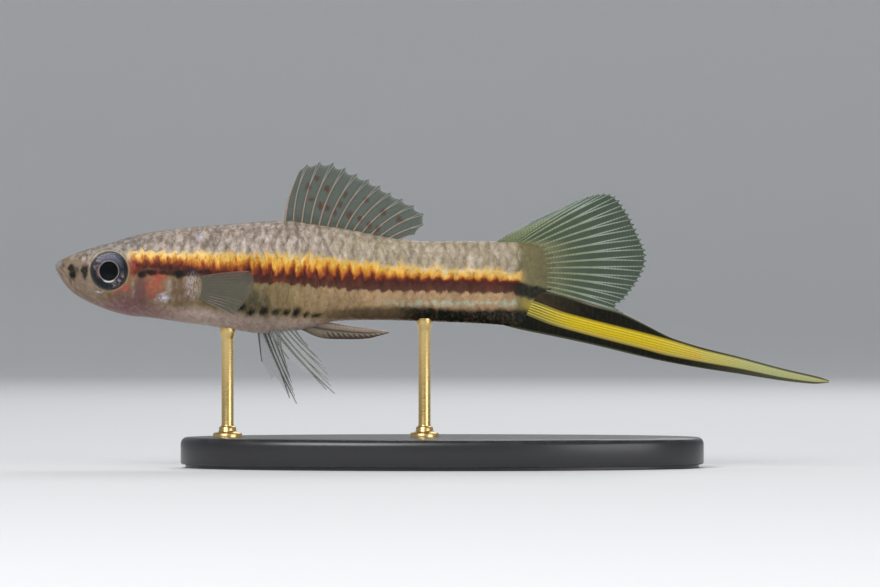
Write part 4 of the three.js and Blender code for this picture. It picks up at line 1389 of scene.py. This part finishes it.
class SWORDTAIL_OT_scales(Operator):
    """Lay the overlapping scales of both sides in staggered rows"""

    bl_idname = "swordtail.scales"
    bl_label = "Scales"

    REAR_REACH = 0.82  # of the pitch, behind a scale's middle
    FRONT_REACH = 0.95
    HALF_HEIGHT = 1.02  # of the distance between two rows
    THICKNESS = 0.03
    LAST = 61.4
    # Where the scales start, at shares of the way from the back to the belly
    START_SHARES = (0, 0.2, 0.34, 0.45, 0.55, 0.66, 0.8, 1)
    STARTS = (12.2, 13, 15, 17.4, 19.4, 19.6, 18.4, 17.5)
    UV_SIZE = 0.003  # one scale's share of the bake's picture

    def execute(self, context):
        pitch, rows = sizes().scale_pitch / MM, sizes().scale_rows
        plate = ScalePlate()
        for side_name, side in SIDES.items():
            draw = np.random.default_rng(11 if side > 0 else 12)
            piece = Piece()
            for row in range(rows):
                share_round = (row + 0.5) / rows
                first = np.interp(share_round, self.START_SHARES, self.STARTS)
                stagger = 0.5 * ((row + (side > 0)) % 2)
                count = math.ceil((first - FIRST_SCALE) / pitch - stagger)
                s = FIRST_SCALE + (count + stagger) * pitch
                while s < self.LAST:
                    self.add_scale(piece, plate, side, s, share_round, first, draw)
                    s += pitch
            material = keep("swordtail scales", scale_material, colours())
            hand_in(piece.make("scales_" + side_name, material, math.radians(35)), "skin")
        return {"FINISHED"}

    def add_scale(self, piece, plate, side, s, share_round, first, draw):
        """One scale of a row that starts at first, with its own small differences."""
        pitch, row_share = sizes().scale_pitch / MM, 1 / sizes().scale_rows
        along, across, ring = plate.along, plate.across, plate.ring
        size = draw.uniform(0.95, 1.05)
        s = s + draw.normal(0, 0.03)
        shrink = 1 - 0.25 * step(s, 58, 62.5)
        reach = np.where(along > 0, self.REAR_REACH, self.FRONT_REACH) * pitch * size
        flat_s = np.clip(s + along * reach * shrink, 1, SKIN_END - 0.3)
        flat_share = np.clip(share_round + across * row_share * self.HALF_HEIGHT * size, 0, 1)
        present = step(s, first - 0.2, first + 1.6 * pitch) * step(s, 61.8, 59.0)
        rise = (along + 1) / 2
        lift = sizes().scale_lift / MM + draw.normal(0, 0.006)
        top = lift * (-0.55 + 1.55 * rise) - 0.02 * across**2 - 0.012 * step(ring, 0.9, 1.0)
        top = present * top - (1 - present) * 0.1
        points = np.concatenate([
            body.read(flat_s, flat_share, side, top)[0],
            body.read(flat_s, flat_share, side, top - self.THICKNESS)[0],
        ])
        values = body_marks(flat_s, body.read(flat_s, flat_share, side)[0][:, 2])
        rim = step(ring, 0.74, 0.9) * step(along, -0.1, 0.35)
        net = rim * (0.3 + 0.7 * values["above"]) * (1 - 0.6 * values["rear"])
        values["net"] = net * draw.uniform(0.5, 1)
        streak = hump(along, 0.42, 0.2) * step(np.abs(across), 0.85, 0.4) * values["above"]
        values["streak"] = streak * draw.uniform(0.3, 1)
        values["ring"] = ring
        values["fan"] = np.arctan2(across, along)
        values["tone"] = np.full(len(along), draw.uniform(0, 1))
        faces = plate.faces if side < 0 else [face[::-1] for face in plate.faces]
        level = np.clip((0.25 + 0.25 * side + 0.5 * share_round) * 0.98 + 0.01, 0, 1)
        uv = np.stack([
            s / SKIN_END + along * self.UV_SIZE / 2, level + across * self.UV_SIZE / 2
        ], -1)
        doubled = {name: np.concatenate([value, value]) for name, value in values.items()}
        piece.add(points, faces, uv=np.concatenate([uv, uv]), **doubled)


class SWORDTAIL_OT_eyes(Operator):
    """Set the eyeball, pupil and clear cornea of both eyes"""

    bl_idname = "swordtail.eyes"
    bl_label = "Eyes"

    SPOKES = 96
    PUPIL_FORWARD = 0.04
    CORNEA_RISE = 0.36
    CORNEA_THICKNESS = 0.1
    FRONT_RINGS = 40  # rings of the eyeball in front of its rim
    PUPIL_RINGS = 6
    BACK_DEPTH = 1.15

    def make_turned(self, eye, name, node, material, radii, heights, shift, marks):
        """Makes one closed piece turned round the eye's axis, with marks that are given for each point."""
        turn = circle(self.SPOKES)
        rings = np.stack([
            eye.place(np.full(self.SPOKES, radius), turn, height, moved)
            for radius, height, moved in zip(radii, heights, shift)
        ])
        piece = Piece()
        flat = {mark: value.ravel() for mark, value in marks.items()}
        piece.add(rings, tube_faces(len(radii), self.SPOKES), **flat)
        hand_in(piece.make(node + name, material), "eye", node)

    def make_ball(self, eye, node, radius, pupil):
        """The eyeball: a hollow for the pupil, the iris round it, and the round back inside the head."""
        radii = np.concatenate([
            np.linspace(0.05, pupil - 0.06, self.PUPIL_RINGS), np.linspace(pupil - 0.03, pupil + 0.16, 8),
            np.linspace(pupil + 0.2, radius - 0.02, 26), np.linspace(radius, 0.05, 16),
        ])
        front = -0.34 * (radii / radius) ** 2 - 0.02
        front[: self.PUPIL_RINGS] = -0.3
        heights = front + 0.05 * hump(radii, pupil + 0.06, 0.05)
        behind = np.arange(len(radii)) >= self.FRONT_RINGS
        back = -0.36 - self.BACK_DEPTH * np.sqrt(np.clip(1 - (radii / radius) ** 2, 0, 1))
        heights = np.where(behind, back, heights)
        shift = -self.PUPIL_FORWARD * step(radii, radius, pupil + 0.2) * ~behind
        r, t = np.meshgrid(radii, circle(self.SPOKES), indexing="ij")
        in_front = (~behind)[:, None] * np.ones_like(t)
        up, rearward = np.sin(t), np.cos(t)
        sheen = in_front * step(up, 0.05, 0.95) * hump(r, 0.5 * (pupil + radius), 0.55) * 0.9
        corners = np.maximum(step(up - rearward, 0.9, 1.35), step(rearward - up, 0.9, 1.35))
        marks = {
            "ring": hump(r, pupil + 0.05, 0.028) * in_front,
            "rim": step(r, radius - 0.28, radius - 0.1),
            "sheen": sheen + in_front * 0.25 * step(rearward, 0.3, 1.0) * hump(r, pupil + 0.45, 0.3),
            "pink": in_front * 0.8 * step(-rearward, 0.7, 1.0) * hump(r, pupil + 0.2, 0.2),
            "flecks": in_front * hump(r, pupil + 0.65, 0.4) * corners,
            "glint": in_front * step(-up, 0.8, 0.97) * hump(r, pupil + 0.13, 0.09),
            "turn": t,
        }
        iris = keep("iris", iris_material, colours())
        self.make_turned(eye, "_ball", node, iris, radii, heights, shift, marks)

    def make_pupil(self, eye, node, pupil):
        """The pupil: the black lens that bulges through the iris."""
        bulge = np.linspace(0.03, 1, 14)
        round_off = np.sqrt(np.clip(1 - bulge**2, 0, 1))
        radii = np.concatenate([pupil * bulge, pupil * bulge[::-1]])
        heights = np.concatenate([0.17 * round_off - 0.1, -0.1 - 0.5 * round_off[::-1] - 0.02])
        shift = np.full(len(radii), -self.PUPIL_FORWARD)
        self.make_turned(eye, "_pupil", node, keep("pupil", pupil_material), radii, heights, shift, {})

    def make_cornea(self, eye, node, radius):
        """The cornea: a clear bowl over both."""
        share_out = np.linspace(0.02, 1, 22)
        dome = np.sqrt(np.clip(1 - share_out**2, 0, 1)) ** 1.3
        outer = self.CORNEA_RISE * dome - 0.1
        inner = (self.CORNEA_RISE - self.CORNEA_THICKNESS) * dome - 0.14
        radii = (radius + 0.02) * np.concatenate([share_out, share_out[::-1]])
        heights = np.concatenate([outer, inner[::-1]])
        shift = np.zeros(len(radii))
        self.make_turned(eye, "_cornea", node, keep("cornea", cornea_material), radii, heights, shift, {})

    def execute(self, context):
        radius, pupil = sizes().eye_radius / MM, sizes().pupil_radius / MM
        for side_name, side in SIDES.items():
            eye = EyeFrame(side)
            node = "eye_" + side_name
            self.make_ball(eye, node, radius, pupil)
            self.make_pupil(eye, node, pupil)
            self.make_cornea(eye, node, radius)
        return {"FINISHED"}


DORSAL_SPOTS = [
    (32.9, 12.5), (33.3, 10.9), (35.3, 12.3), (37.7, 11.4), (34.5, 10.0), (35.4, 9.7), (36.3, 9.1),
    (40.5, 10.8), (38.2, 8.8), (39.6, 8.3), (40.8, 7.5), (41.9, 7.0), (44.7, 8.3), (42.6, 9.2),
    (37.0, 10.2), (34.1, 13.6),
]
DORSAL_SPOT_RADII = (0.28, 0.33)


class SWORDTAIL_OT_dorsal_fin(Operator):
    """Spread the spotted back fin"""

    bl_idname = "swordtail.dorsal_fin"
    bl_label = "Back fin"

    def execute(self, context):
        fin = Fin(
            fan(
                [(29.9, 7.2), (33.2, 6.9), (37.9, 6.2), (43.6, 5)],
                [(31.7, 14.5), (32.5, 15.5), (35.6, 15.9), (39.6, 14.2), (44.7, 11.3), (47.7, 9.4),
                 (48.3, 8.1), (46.8, 6.3)],
                0.06,
            ),
            rays=14, notch=0.07, seed=3, fork=0.12, pale_edge=0.5,
            outward=lambda s, h, u, v: 0.45 * np.sin(2.6 * v + 0.4) * u**1.5 - 0.15 * u,
        )
        draw = np.random.default_rng(17)
        half_length, half_height = DORSAL_SPOT_RADII
        spots = []
        for s, h in DORSAL_SPOTS:
            radii = half_length * draw.uniform(0.7, 1.3), half_height * draw.uniform(0.7, 1.2)
            spots.append((s, h, *radii, draw.uniform(0.6, 1.0)))

        def web_marks(s, h, u, v, between):
            by_ray = 0.06 * hump(between, 0, 0.2)
            return {
                "dense": 0.54 + 0.3 * step(u, 0.25, 0.0) + by_ray + 0.06 * hump(between, 1, 0.2),
                "root": 0.3 * step(u, 0.2, 0.0),
                "spot": patches(s + 0.14 * cloud(s, h, 0.3, 61), h + 0.14 * cloud(s, h, 0.3, 62), spots, 0.7),
            }

        def ray_marks(u, v, jointed, place):
            return {
                "joint": jointed, "tip": step(u, 0.5, 1.0), "dense": 1 - 0.35 * step(u, 0.6, 1.0),
                "spot": 0.6 * patches(place[:, 0], place[:, 2], spots, 0.3),
            }

        tint = colours()
        materials = (
            keep("fin web", web_material, tint, tint.web),
            keep("fin rays", ray_material, tint.ray, (0.55, 0.44, 0.38), (0.5, 0.48, 0.44)),
        )
        ray_radius = sizes().ray_radius / MM
        spread_fin("dorsal", fin, "dorsal_fin", materials, web_marks, ray_marks,
                   lambda index: ray_radius * (1.6 if index == 0 else 1.4), 0.62)
        return {"FINISHED"}


class SWORDTAIL_OT_tail_fin(Operator):
    """Spread the fan of the tail fin above the sword"""

    bl_idname = "swordtail.tail_fin"
    bl_label = "Tail fin"

    STIFF = 0.42  # the share of each ray, from its root, that the water doesn't bend

    def execute(self, context):
        fin = Fin(
            fan(
                [(57, 5), (60, 4.7), (60.6, 2.7), (60.9, -0.7)],
                [(62.4, 8.1), (66.4, 9.95), (68.9, 11.1), (71.7, 11.7), (73.3, 10.9), (74.8, 8.7),
                 (76.6, 4.95), (77, 3), (76.5, 1.2), (74.3, -2), (73, -3.1), (74.9, -4.6)],
                0.015,
            ),
            rays=22, notch=0.028, seed=5, ragged=0.6, swell=0.06, breadth=2.9,
            outward=lambda s, h, u, v: (
                0.45 * np.sin(3.1 * v - 0.8) * np.clip((u - self.STIFF) / (1 - self.STIFF), 0, 1) ** 1.6
            ),
        )

        def web_marks(s, h, u, v, between):
            near_ray = hump(between, 0, 0.22) + hump(between, 1, 0.22)
            return {
                "dense": 0.84 + 0.16 * step(s, 72, 67.6) + 0.04 * near_ray + 0.3 * step(v, 0.9, 1.0),
                "root": step(s, ROOT_FADE[1], ROOT_FADE[0]) * step(h, 5.9, 4.9),
                "spot": 0.6 * step(v, 0.94, 1.0) * step(u, 0.9, 0.6),
            }

        def ray_marks(u, v, jointed, place):
            return {
                # Pale painted glints at the inner joints of the tail rays
                "joint": jointed * step(u, 0.72, 0.5), "tip": step(u, 0.35, 0.8),
                "dense": 0.95 - 0.3 * step(u, 0.7, 1.0), "spot": 0.5 * step(v, 0.95, 1.0),
            }

        tint = colours()
        materials = (
            keep("tail web", web_material, tint, tint.web),
            # The tail rays' pale joint colour is a painted glint
            keep("tail rays", ray_material, (0.19, 0.23, 0.12), (0.42, 0.42, 0.3), tint.tail_ray),
        )
        ray_radius = sizes().ray_radius / MM
        spread_fin("tail", fin, "tail_fin", materials, web_marks, ray_marks,
                   lambda index: ray_radius * (1.0 if index < 3 else 1.2), 0.52, first_joint=0.15)
        return {"FINISHED"}


SWORD_START = 58.5
SWORD_LOWER = [
    (58.5, -5.55), (60.5, -6.05), (65.6, -7.1), (70.2, -8.1), (76, -9.5), (79.5, -10.25), (84.2, -11.1),
    (88.8, -11.8), (94.6, -12.7), (98.7, -13.1), (100.6, -12.95),
]
SWORD_UPPER = [
    (58.5, -0.9), (60.5, -0.7), (65.6, -1.5), (69.9, -2.9), (73.2, -3.75), (76.1, -5.1), (79.5, -6.85),
    (81.2, -7.5), (84.2, -8.4), (88.8, -9.55), (94.6, -11.1), (99.3, -12.2), (100.6, -12.65),
]
gold_upper = profile([
    (58, -1.7), (60, -1.95), (62.4, -2.47), (65.9, -3.77), (69.9, -4.85), (73.9, -5.85), (76.1, -6.4),
    (79.5, -7.3), (84.2, -8.7), (88.8, -9.8), (94.6, -11.35), (98.5, -12.25), (100.6, -12.75),
])
gold_lower = profile([
    (58, -3.1), (60, -3.64), (63.9, -5.2), (65.6, -5.75), (70.2, -7), (76.1, -8.5), (79.5, -9.4),
    (84.2, -10.3), (88.8, -11.1), (94.6, -12.3), (98.5, -12.85), (100.6, -12.9),
])


class SWORDTAIL_OT_sword(Operator):
    """Draw out the lower tail rays into the sword"""

    bl_idname = "swordtail.sword"
    bl_label = "Sword"

    ROWS = 250
    COLUMNS = 110
    ROOT_HALF = 0.4
    TIP_HALF = 0.16
    EDGE_HALF = 0.02
    RIDGE = 0.05
    JOINT_DEPTH = 0.012
    SWAY = 0.35  # how far the tip bends to the side

    def execute(self, context):
        spine = blade(SWORD_LOWER, SWORD_UPPER, SWORD_START, OVERALL_LENGTH)
        u, v = np.meshgrid(np.linspace(0, 1, self.ROWS), np.linspace(0, 1, self.COLUMNS), indexing="ij")
        s, h = spine(u, v)
        # The rays run between the edges of the gold, and a few in each black margin
        low, high = gold_lower(s), gold_upper(s)
        in_gold = (h - low) / np.maximum(high - low, 0.05)
        count = SWORD_RAYS * in_gold
        ridge = np.abs(np.cos(math.pi * count))
        rim = np.sqrt(np.clip(1 - np.abs(2 * v - 1) ** 3, 0, 1))
        body_half = (self.ROOT_HALF - self.TIP_HALF) * (1 - u) ** 1.6 + self.TIP_HALF
        half = body_half * rim + self.RIDGE * (1 - 0.6 * u) * ridge * rim + self.EDGE_HALF
        run = u * (OVERALL_LENGTH - SWORD_START) / (sizes().joint_pitch / MM * 1.5)
        jointed = (np.mod(run + 0.15 * np.sin(9 * v), 1) < 0.16) * ridge
        half = half - self.JOINT_DEPTH * jointed
        gold = step(in_gold, -0.06, 0.12) * step(in_gold, 1.08, 0.9)
        marks = {
            # The grooves between the rays in the gold get painted shade
            "gold": gold, "tip": step(u, 0.42, 0.85), "groove": step(ridge, 0.35, 0.05) * gold,
            # Where the painted highlight lies: on the crests of the rays in the gold
            "crest": step(ridge, 0.9, 1.0) * gold * step(in_gold, 0.2, 0.9),
            "low": step(in_gold, 0.45, 0.05) * step(s, 90, 82),
            "olive": step(ridge, 0.97, 0.5) * step(s, 68, 62),
            "root": step(s, 71, 60) * step(in_gold, 0.5, 1.0),
            # Paler along the outer edges, a painted highlight, and towards the tip, where the margins turn
            # glassy
            "glassy": step(np.minimum(v, 1 - v), 0.06, 0.0) + 0.6 * step(u, 0.5, 0.95), "joint": jointed,
        }
        bend = self.SWAY * np.sin(2.2 * u) * u
        piece = Piece()
        add_plate(piece, np.stack([s, bend, h], -1), half[..., None] * SIDEWAYS, marks)
        hand_in(piece.make("sword_blade", keep("sword rays", sword_material, colours())), "sword", "sword")
        return {"FINISHED"}


PELVIC_ROOT_SIDE = 1.0
PELVIC_SPREAD = 0.34
PELVIC_ROOT_H = -5.6
PELVIC_ROOTS = {"left": (27.6, 30.9), "right": (26.3, 29)}
PELVIC_TIPS = {
    "left": [(31.3, -10.9), (37, -15.1), (36.1, -13.3), (35.6, -11.6), (34.7, -10.1), (33.5, -8.8)],
    "right": [(26.9, -11.4), (31.6, -16.6), (31.1, -14.8), (30.7, -12.9), (30.1, -11), (29.5, -9.4)],
}


class SWORDTAIL_OT_paired_fins(Operator):
    """Spread the pelvic fins under the belly and the pectoral fins behind the gill covers"""

    bl_idname = "swordtail.paired_fins"
    bl_label = "Pelvic and pectoral fins"

    PECTORAL_ROOT = (18.7, -0.7)
    PECTORAL_ANGLE = math.radians(40)  # out from the side
    PECTORAL_SUNK = 0.35  # how deep the root sits in the side

    def pelvic_spine(self, name):
        roots, tips = PELVIC_ROOTS[name], np.array(PELVIC_TIPS[name], float)

        def spine(u, v):
            place = v * (len(tips) - 1)
            tip_s = np.interp(place, np.arange(len(tips)), tips[:, 0])
            tip_h = np.interp(place, np.arange(len(tips)), tips[:, 1])
            root_s = roots[0] + (roots[1] - roots[0]) * v
            curl = 0.35 * np.sin(math.pi * np.clip(u, 0, 1))
            h = PELVIC_ROOT_H + (tip_h - PELVIC_ROOT_H) * u - curl * 0.4
            return root_s + (tip_s - root_s) * u**1.1, h

        return spine

    def make_pelvic(self, name, side, ray_radius):
        tilt = math.atan(PELVIC_SPREAD)
        fin = Fin(
            self.pelvic_spine(name), rays=6, notch=0.2, seed=8, ragged=0.4,
            outward=lambda s, h, u, v: side * (PELVIC_ROOT_SIDE + PELVIC_SPREAD * (PELVIC_ROOT_H - h)),
            normal=(0, math.cos(tilt), side * math.sin(tilt)),
        )
        materials = (
            keep("pelvic web", web_material, colours(), (0.34, 0.38, 0.34), 0.8),
            keep("pelvic rays", ray_material, (0.2, 0.2, 0.18), (0.05, 0.05, 0.045), (0.36, 0.4, 0.38)),
        )

        def web_marks(s, h, u, v, between):
            return {"dense": 0.2 + 0.3 * step(u, 0.3, 0.0)}

        def ray_marks(u, v, jointed, place):
            return {"joint": jointed, "tip": step(u, 0.7, 1.0), "dense": 0.95 + 0 * u}

        spread_fin("pelvic_" + name, fin, "pelvic_fin_" + name, materials, web_marks, ray_marks,
                   lambda index: ray_radius * (1.9 if index == 1 else 1.3), 0.5, first_joint=0.12)

    def make_pectoral(self, name, side, ray_radius):
        angle = self.PECTORAL_ANGLE
        sunk = side_at(*self.PECTORAL_ROOT) - self.PECTORAL_SUNK

        def outward(s, h, u, v):
            out = sunk + (s - self.PECTORAL_ROOT[0]) * math.tan(angle)
            return side * (out - 0.5 * np.clip(u, 0, 1) ** 2 + 0.2 * np.sin(3 * v) * u)

        fin = Fin(
            fan(
                [(18.6, 0.7), (18.5, -0.7), (18.9, -2.1)],
                [(25.6, 1.5), (26.2, 0.6), (26, -0.9), (24.9, -2.6), (23.5, -4.2)],
                0.02,
            ),
            rays=13, notch=0.02, seed=9, outward=outward,
            normal=(-side * math.sin(angle), math.cos(angle), 0),
        )
        materials = (
            keep("pectoral web", web_material, colours(), (0.1, 0.092, 0.07)),
            keep("pectoral rays", ray_material, (0.34, 0.28, 0.24), (0.16, 0.12, 0.1), (0.45, 0.44, 0.42)),
        )

        def web_marks(s, h, u, v, between):
            dense = 0.6 + 0.25 * step(u, 0.3, 0.0) - 0.22 * step(u, 0.8, 1.0) + 0.1 * step(v, 0.15, 0.0)
            return {"dense": dense, "spot": 0.4 * step(v, 0.16, 0.02) * step(u, 0.25, 0.4)}

        def ray_marks(u, v, jointed, place):
            return {
                "joint": 0 * u, "tip": step(u, 0.5, 1.0), "spot": 0.5 * step(v, 0.14, 0.0),
                "dense": 0.26 + 0.45 * step(v, 0.55, 0.8) * step(u, 0.1, 0.35) + 0.4 * step(v, 0.1, 0.0),
            }

        spread_fin("pectoral_" + name, fin, "pectoral_fin_" + name, materials, web_marks, ray_marks,
                   lambda index: ray_radius * (1.2 if index == 0 else 0.65), 0.55, first_joint=0.9)

    def execute(self, context):
        ray_radius = sizes().ray_radius / MM
        for name, side in SIDES.items():
            self.make_pelvic(name, side, ray_radius)
            self.make_pectoral(name, side, ray_radius)
        return {"FINISHED"}


class SWORDTAIL_OT_gonopodium(Operator):
    """Make the gonopodium, the narrow rod of the male's anal fin"""

    bl_idname = "swordtail.gonopodium"
    bl_label = "Gonopodium"

    ROWS = 150
    COLUMNS = 40

    def execute(self, context):
        spine = blade(
            [(31.6, -5.9), (34.4, -7.1), (37.5, -7.3), (40.7, -7.2), (42.7, -6.7), (43.4, -6.5)],
            [(31.6, -4.7), (34.7, -5), (38.8, -5.65), (41.4, -6), (43.4, -6.3)], 31.6, 43.4,
        )
        u, v = np.meshgrid(np.linspace(0, 1, self.ROWS), np.linspace(0, 1, self.COLUMNS), indexing="ij")
        s, h = spine(u, v)
        rim = np.sqrt(np.clip(1 - np.abs(2 * v - 1) ** 2.4, 0, 1))
        ridge = np.abs(np.cos(math.pi * 3.5 * v))
        jointed = (np.mod(u * 24 + 0.4 * v, 1) < 0.2) * step(u, 0.25, 0.4)
        half = (0.5 - 0.32 * u) * rim + 0.05 * ridge * rim - 0.025 * jointed + 0.02
        teeth = (np.mod(u * 17 + 2.2 * v, 1) < 0.45) * step(v, 0.5, 0.35) * step(u, 0.22, 0.35)
        midline = hump(v, 0.56, 0.07) * step(u, 0.1, 0.2) * step(u, 0.95, 0.85)
        edge_line = hump(v, 0.1, 0.08) * step(u, 0.3, 0.4)
        marks = {
            "joint": np.maximum(np.maximum(teeth, midline), np.maximum(edge_line, 0.3 * jointed)),
            "tip": np.maximum(step(u, 0.75, 1.0), step(v, 0.6, 0.9)), "dense": 1 + 0 * u,
            "spot": 0.2 * step(v, 0.3, 0.1) * step(u, 0.1, 0.3),
        }
        piece = Piece()
        add_plate(piece, np.stack([s, 0 * s, h], -1), half[..., None] * SIDEWAYS, marks)
        brown, black, tip = (0.2, 0.165, 0.12), (0.004, 0.004, 0.003), (0.33, 0.25, 0.2)
        material = keep("gonopodium skin", ray_material, brown, black, tip)
        hand_in(piece.make("gonopodium_rod", material), "fin", "gonopodium")
        return {"FINISHED"}


class SWORDTAIL_OT_stand(Operator):
    """Make the oval base plate and the two brass rods that carry the fish"""

    bl_idname = "swordtail.stand"
    bl_label = "Display stand"

    # Distance in from the outline, and height, of each step of the plate's edge
    EDGE = [
        (1.0, 0.0), (0.7, 0.0), (0.62, 0.06), (0.62, 0.4), (0.2, 0.48), (0.06, 0.54), (0.0, 0.68),
        (0.0, 3.1), (0.03, 3.3), (0.12, 3.55), (0.28, 3.75), (0.5, 3.9), (0.8, 3.98), (1.1, 4.0),
    ]
    TOP_INSETS = (3.0, 6.0, 9.0, 12.0, 15.0)
    RUBBED = ((3.75, 0.2), (0.5, 0.1))  # height and reach of the two rubbed edges
    SPOKES = 160
    # Radius, and height over the plate, of the rod's foot
    FOOT = [
        (0.02, 0), (1.9, 0), (1.9, 0.42), (1.82, 0.55), (1.66, 0.62), (1.3, 0.66), (1.18, 0.74), (1.12, 0.9),
        (1.1, 1.25), (1.02, 1.38), (0.84, 1.46), (0.78, 1.7),
    ]
    FOOT_SUNK = 0.05
    # Radius, and height from the rod's top, of the cap that holds the fish
    CAP = [(0.78, -1.3), (0.82, -1.1), (0.98, -0.5), (1.02, -0.2), (1.0, 0.35), (0.02, 0.4)]
    ROD_SPOKES = 48

    def ring(self, centre, half_length, half_width, height, spokes):
        """An oval ring of points, from places in the model's own millimetres."""
        turn = circle(spokes)
        return np.stack([
            centre[0] - SNOUT_X + half_length * np.cos(turn), centre[1] + half_width * np.sin(turn),
            np.full(spokes, height - AXIS_Z),
        ], -1)

    def execute(self, context):
        tint = colours()
        low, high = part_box("stand_base")
        half_length, half_width = (high.x - low.x) / 2 / MM, (high.y - low.y) / 2 / MM
        centre = ((high.x + low.x) / 2 / MM, (high.y + low.y) / 2 / MM)
        top = high.z / MM
        rings, edges = [], []
        for inset, height in self.EDGE + [(inset, top) for inset in self.TOP_INSETS]:
            rings.append(self.ring(centre, half_length - inset, half_width - inset, height, self.SPOKES))
            rubbed = sum(hump(height, place, reach) for place, reach in self.RUBBED)
            edges.append(np.full(self.SPOKES, rubbed))
        plate = Piece()
        plate.add(np.stack(rings), tube_faces(len(rings), self.SPOKES), edge=np.stack(edges).ravel())
        lacquer = keep("satin lacquer", lacquer_material, tint)
        hand_in(plate.make("base_plate", lacquer), "stand_base", "stand_base")
        for name in ("front", "rear"):
            node = "stand_rod_" + name
            low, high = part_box(node)
            rod_centre = ((low.x + high.x) / 2 / MM, 0)
            foot, reach = top - self.FOOT_SUNK, high.z / MM
            outline = [(radius, foot + height) for radius, height in self.FOOT]
            outline += [(radius, reach + height) for radius, height in self.CAP]
            rings = [
                self.ring(rod_centre, radius, radius, height, self.ROD_SPOKES) for radius, height in outline
            ]
            rod = Piece()
            rod.add(np.stack(rings), tube_faces(len(rings), self.ROD_SPOKES))
            hand_in(rod.make("rod_" + name, keep("brushed brass", brass_material, tint)), "stand_rod", node)
        return {"FINISHED"}


class SWORDTAIL_OT_stage(Operator):
    """Set the pale floor with its curved wall, the soft lights and the camera"""

    bl_idname = "swordtail.stage"
    bl_label = "Stage"

    FLOOR_RADIUS = 0.85
    BEND_RADIUS = 0.6
    WALL_TOP = 1.2
    FLOOR_SPOKES = 128
    FLOOR_RINGS = [(0.05, 0.0), (0.3, 0.0)]  # radius and height, inside the bend
    BEND_RINGS = 14
    SENSOR = 36.0
    SKY_COLOUR = (0.93, 0.96, 1.0, 1)
    # Place and size of each light, by the name of the setting that holds its power
    LIGHTS = {
        "key": ((-0.32, -0.6, 0.55), 0.5), "fill": ((0.55, -0.5, 0.12), 0.5), "rim": ((0.15, 0.5, 0.5), 0.4),
    }

    def execute(self, context):
        scene = context.scene
        stage = scene.swordtail_stage
        self.make_sweep()
        for name, (place, size) in self.LIGHTS.items():
            self.make_light(name + "_light", place, getattr(stage, name), size)
        world = bpy.data.worlds.new("soft sky")
        world.use_nodes = True
        background = world.node_tree.nodes["Background"]
        background.inputs["Color"].default_value = self.SKY_COLOUR
        background.inputs["Strength"].default_value = stage.sky
        scene.world = world
        scene.view_settings.view_transform = "Standard"
        lens = bpy.data.cameras.new("camera")
        lens.lens = stage.lens
        lens.sensor_width = self.SENSOR
        lens.clip_start = 0.01
        camera = bring_in("camera", lens)
        distance = PHOTO_WIDTH * PHOTO_SCALE * MM * stage.lens / self.SENSOR
        middle_x = SNOUT_X + (PHOTO_CENTRE[0] - PHOTO_SNOUT[0]) * PHOTO_SCALE
        middle_z = AXIS_Z + (PHOTO_SNOUT[1] - PHOTO_CENTRE[1]) * PHOTO_SCALE
        camera.location = (middle_x * MM, -distance, middle_z * MM)
        camera.rotation_euler = (math.radians(90), 0, 0)
        scene.camera = camera
        return {"FINISHED"}

    def make_sweep(self):
        """A round floor whose rim curves up into a wall."""
        spokes = self.FLOOR_SPOKES
        bend = [
            (self.FLOOR_RADIUS + self.BEND_RADIUS * math.sin(a), self.BEND_RADIUS * (1 - math.cos(a)))
            for a in np.linspace(0, math.pi / 2, self.BEND_RINGS)
        ]
        steps = self.FLOOR_RINGS + bend + [(self.FLOOR_RADIUS + self.BEND_RADIUS, self.WALL_TOP)]
        turn = circle(spokes)
        points = np.concatenate([
            np.stack([radius * np.cos(turn), radius * np.sin(turn), np.full(spokes, height)], -1)
            for radius, height in steps
        ])
        mesh = bpy.data.meshes.new("studio_sweep")
        faces = grid_faces(len(steps), spokes, closed=True) + [list(range(spokes))[::-1]]
        mesh.from_pydata(points.tolist(), [], faces)
        mesh.materials.append(keep("pale floor", floor_material, colours()))
        mesh.shade_smooth()
        bring_in("studio_sweep", mesh)

    def make_light(self, name, place, power, size):
        data = bpy.data.lights.new(name, "AREA")
        data.energy = power
        data.size = size
        light = bring_in(name, data)
        light.location = place
        target = np.array([0.0, 0.0, AXIS_Z * MM])
        way = target - np.array(place)
        flat = math.hypot(way[0], way[1])
        light.rotation_euler = (math.atan2(flat, -way[2]), 0, math.atan2(way[1], way[0]) - math.pi / 2)


class SWORDTAIL_PT_panel(Panel):
    """Lists the pieces of the model"""

    bl_idname = "SWORDTAIL_PT_panel"
    bl_label = "Swordtail"
    bl_space_type = "VIEW_3D"
    bl_region_type = "UI"
    bl_category = "Swordtail"

    def draw(self, context):
        for maker in MAKERS:
            self.layout.operator(maker.bl_idname)


MAKERS = (
    SWORDTAIL_OT_stage,
    SWORDTAIL_OT_skin,
    SWORDTAIL_OT_scales,
    SWORDTAIL_OT_eyes,
    SWORDTAIL_OT_dorsal_fin,
    SWORDTAIL_OT_tail_fin,
    SWORDTAIL_OT_sword,
    SWORDTAIL_OT_gonopodium,
    SWORDTAIL_OT_paired_fins,
    SWORDTAIL_OT_stand,
)
SETTINGS = {
    "swordtail_sizes": SwordtailSizes,
    "swordtail_colours": SwordtailColours,
    "swordtail_stage": SwordtailStage,
}
CLASSES = (*SETTINGS.values(), *MAKERS, SWORDTAIL_PT_panel)


def register():
    for one in CLASSES:
        bpy.utils.register_class(one)
    for name, group in SETTINGS.items():
        setattr(bpy.types.Scene, name, PointerProperty(type=group))


def unregister():
    for name in SETTINGS:
        delattr(bpy.types.Scene, name)
    for one in reversed(CLASSES):
        bpy.utils.unregister_class(one)


def main():
    register()
    for maker in MAKERS:
        group, name = maker.bl_idname.split(".")
        getattr(getattr(bpy.ops, group), name)()


if __name__ == "__main__":
    main()
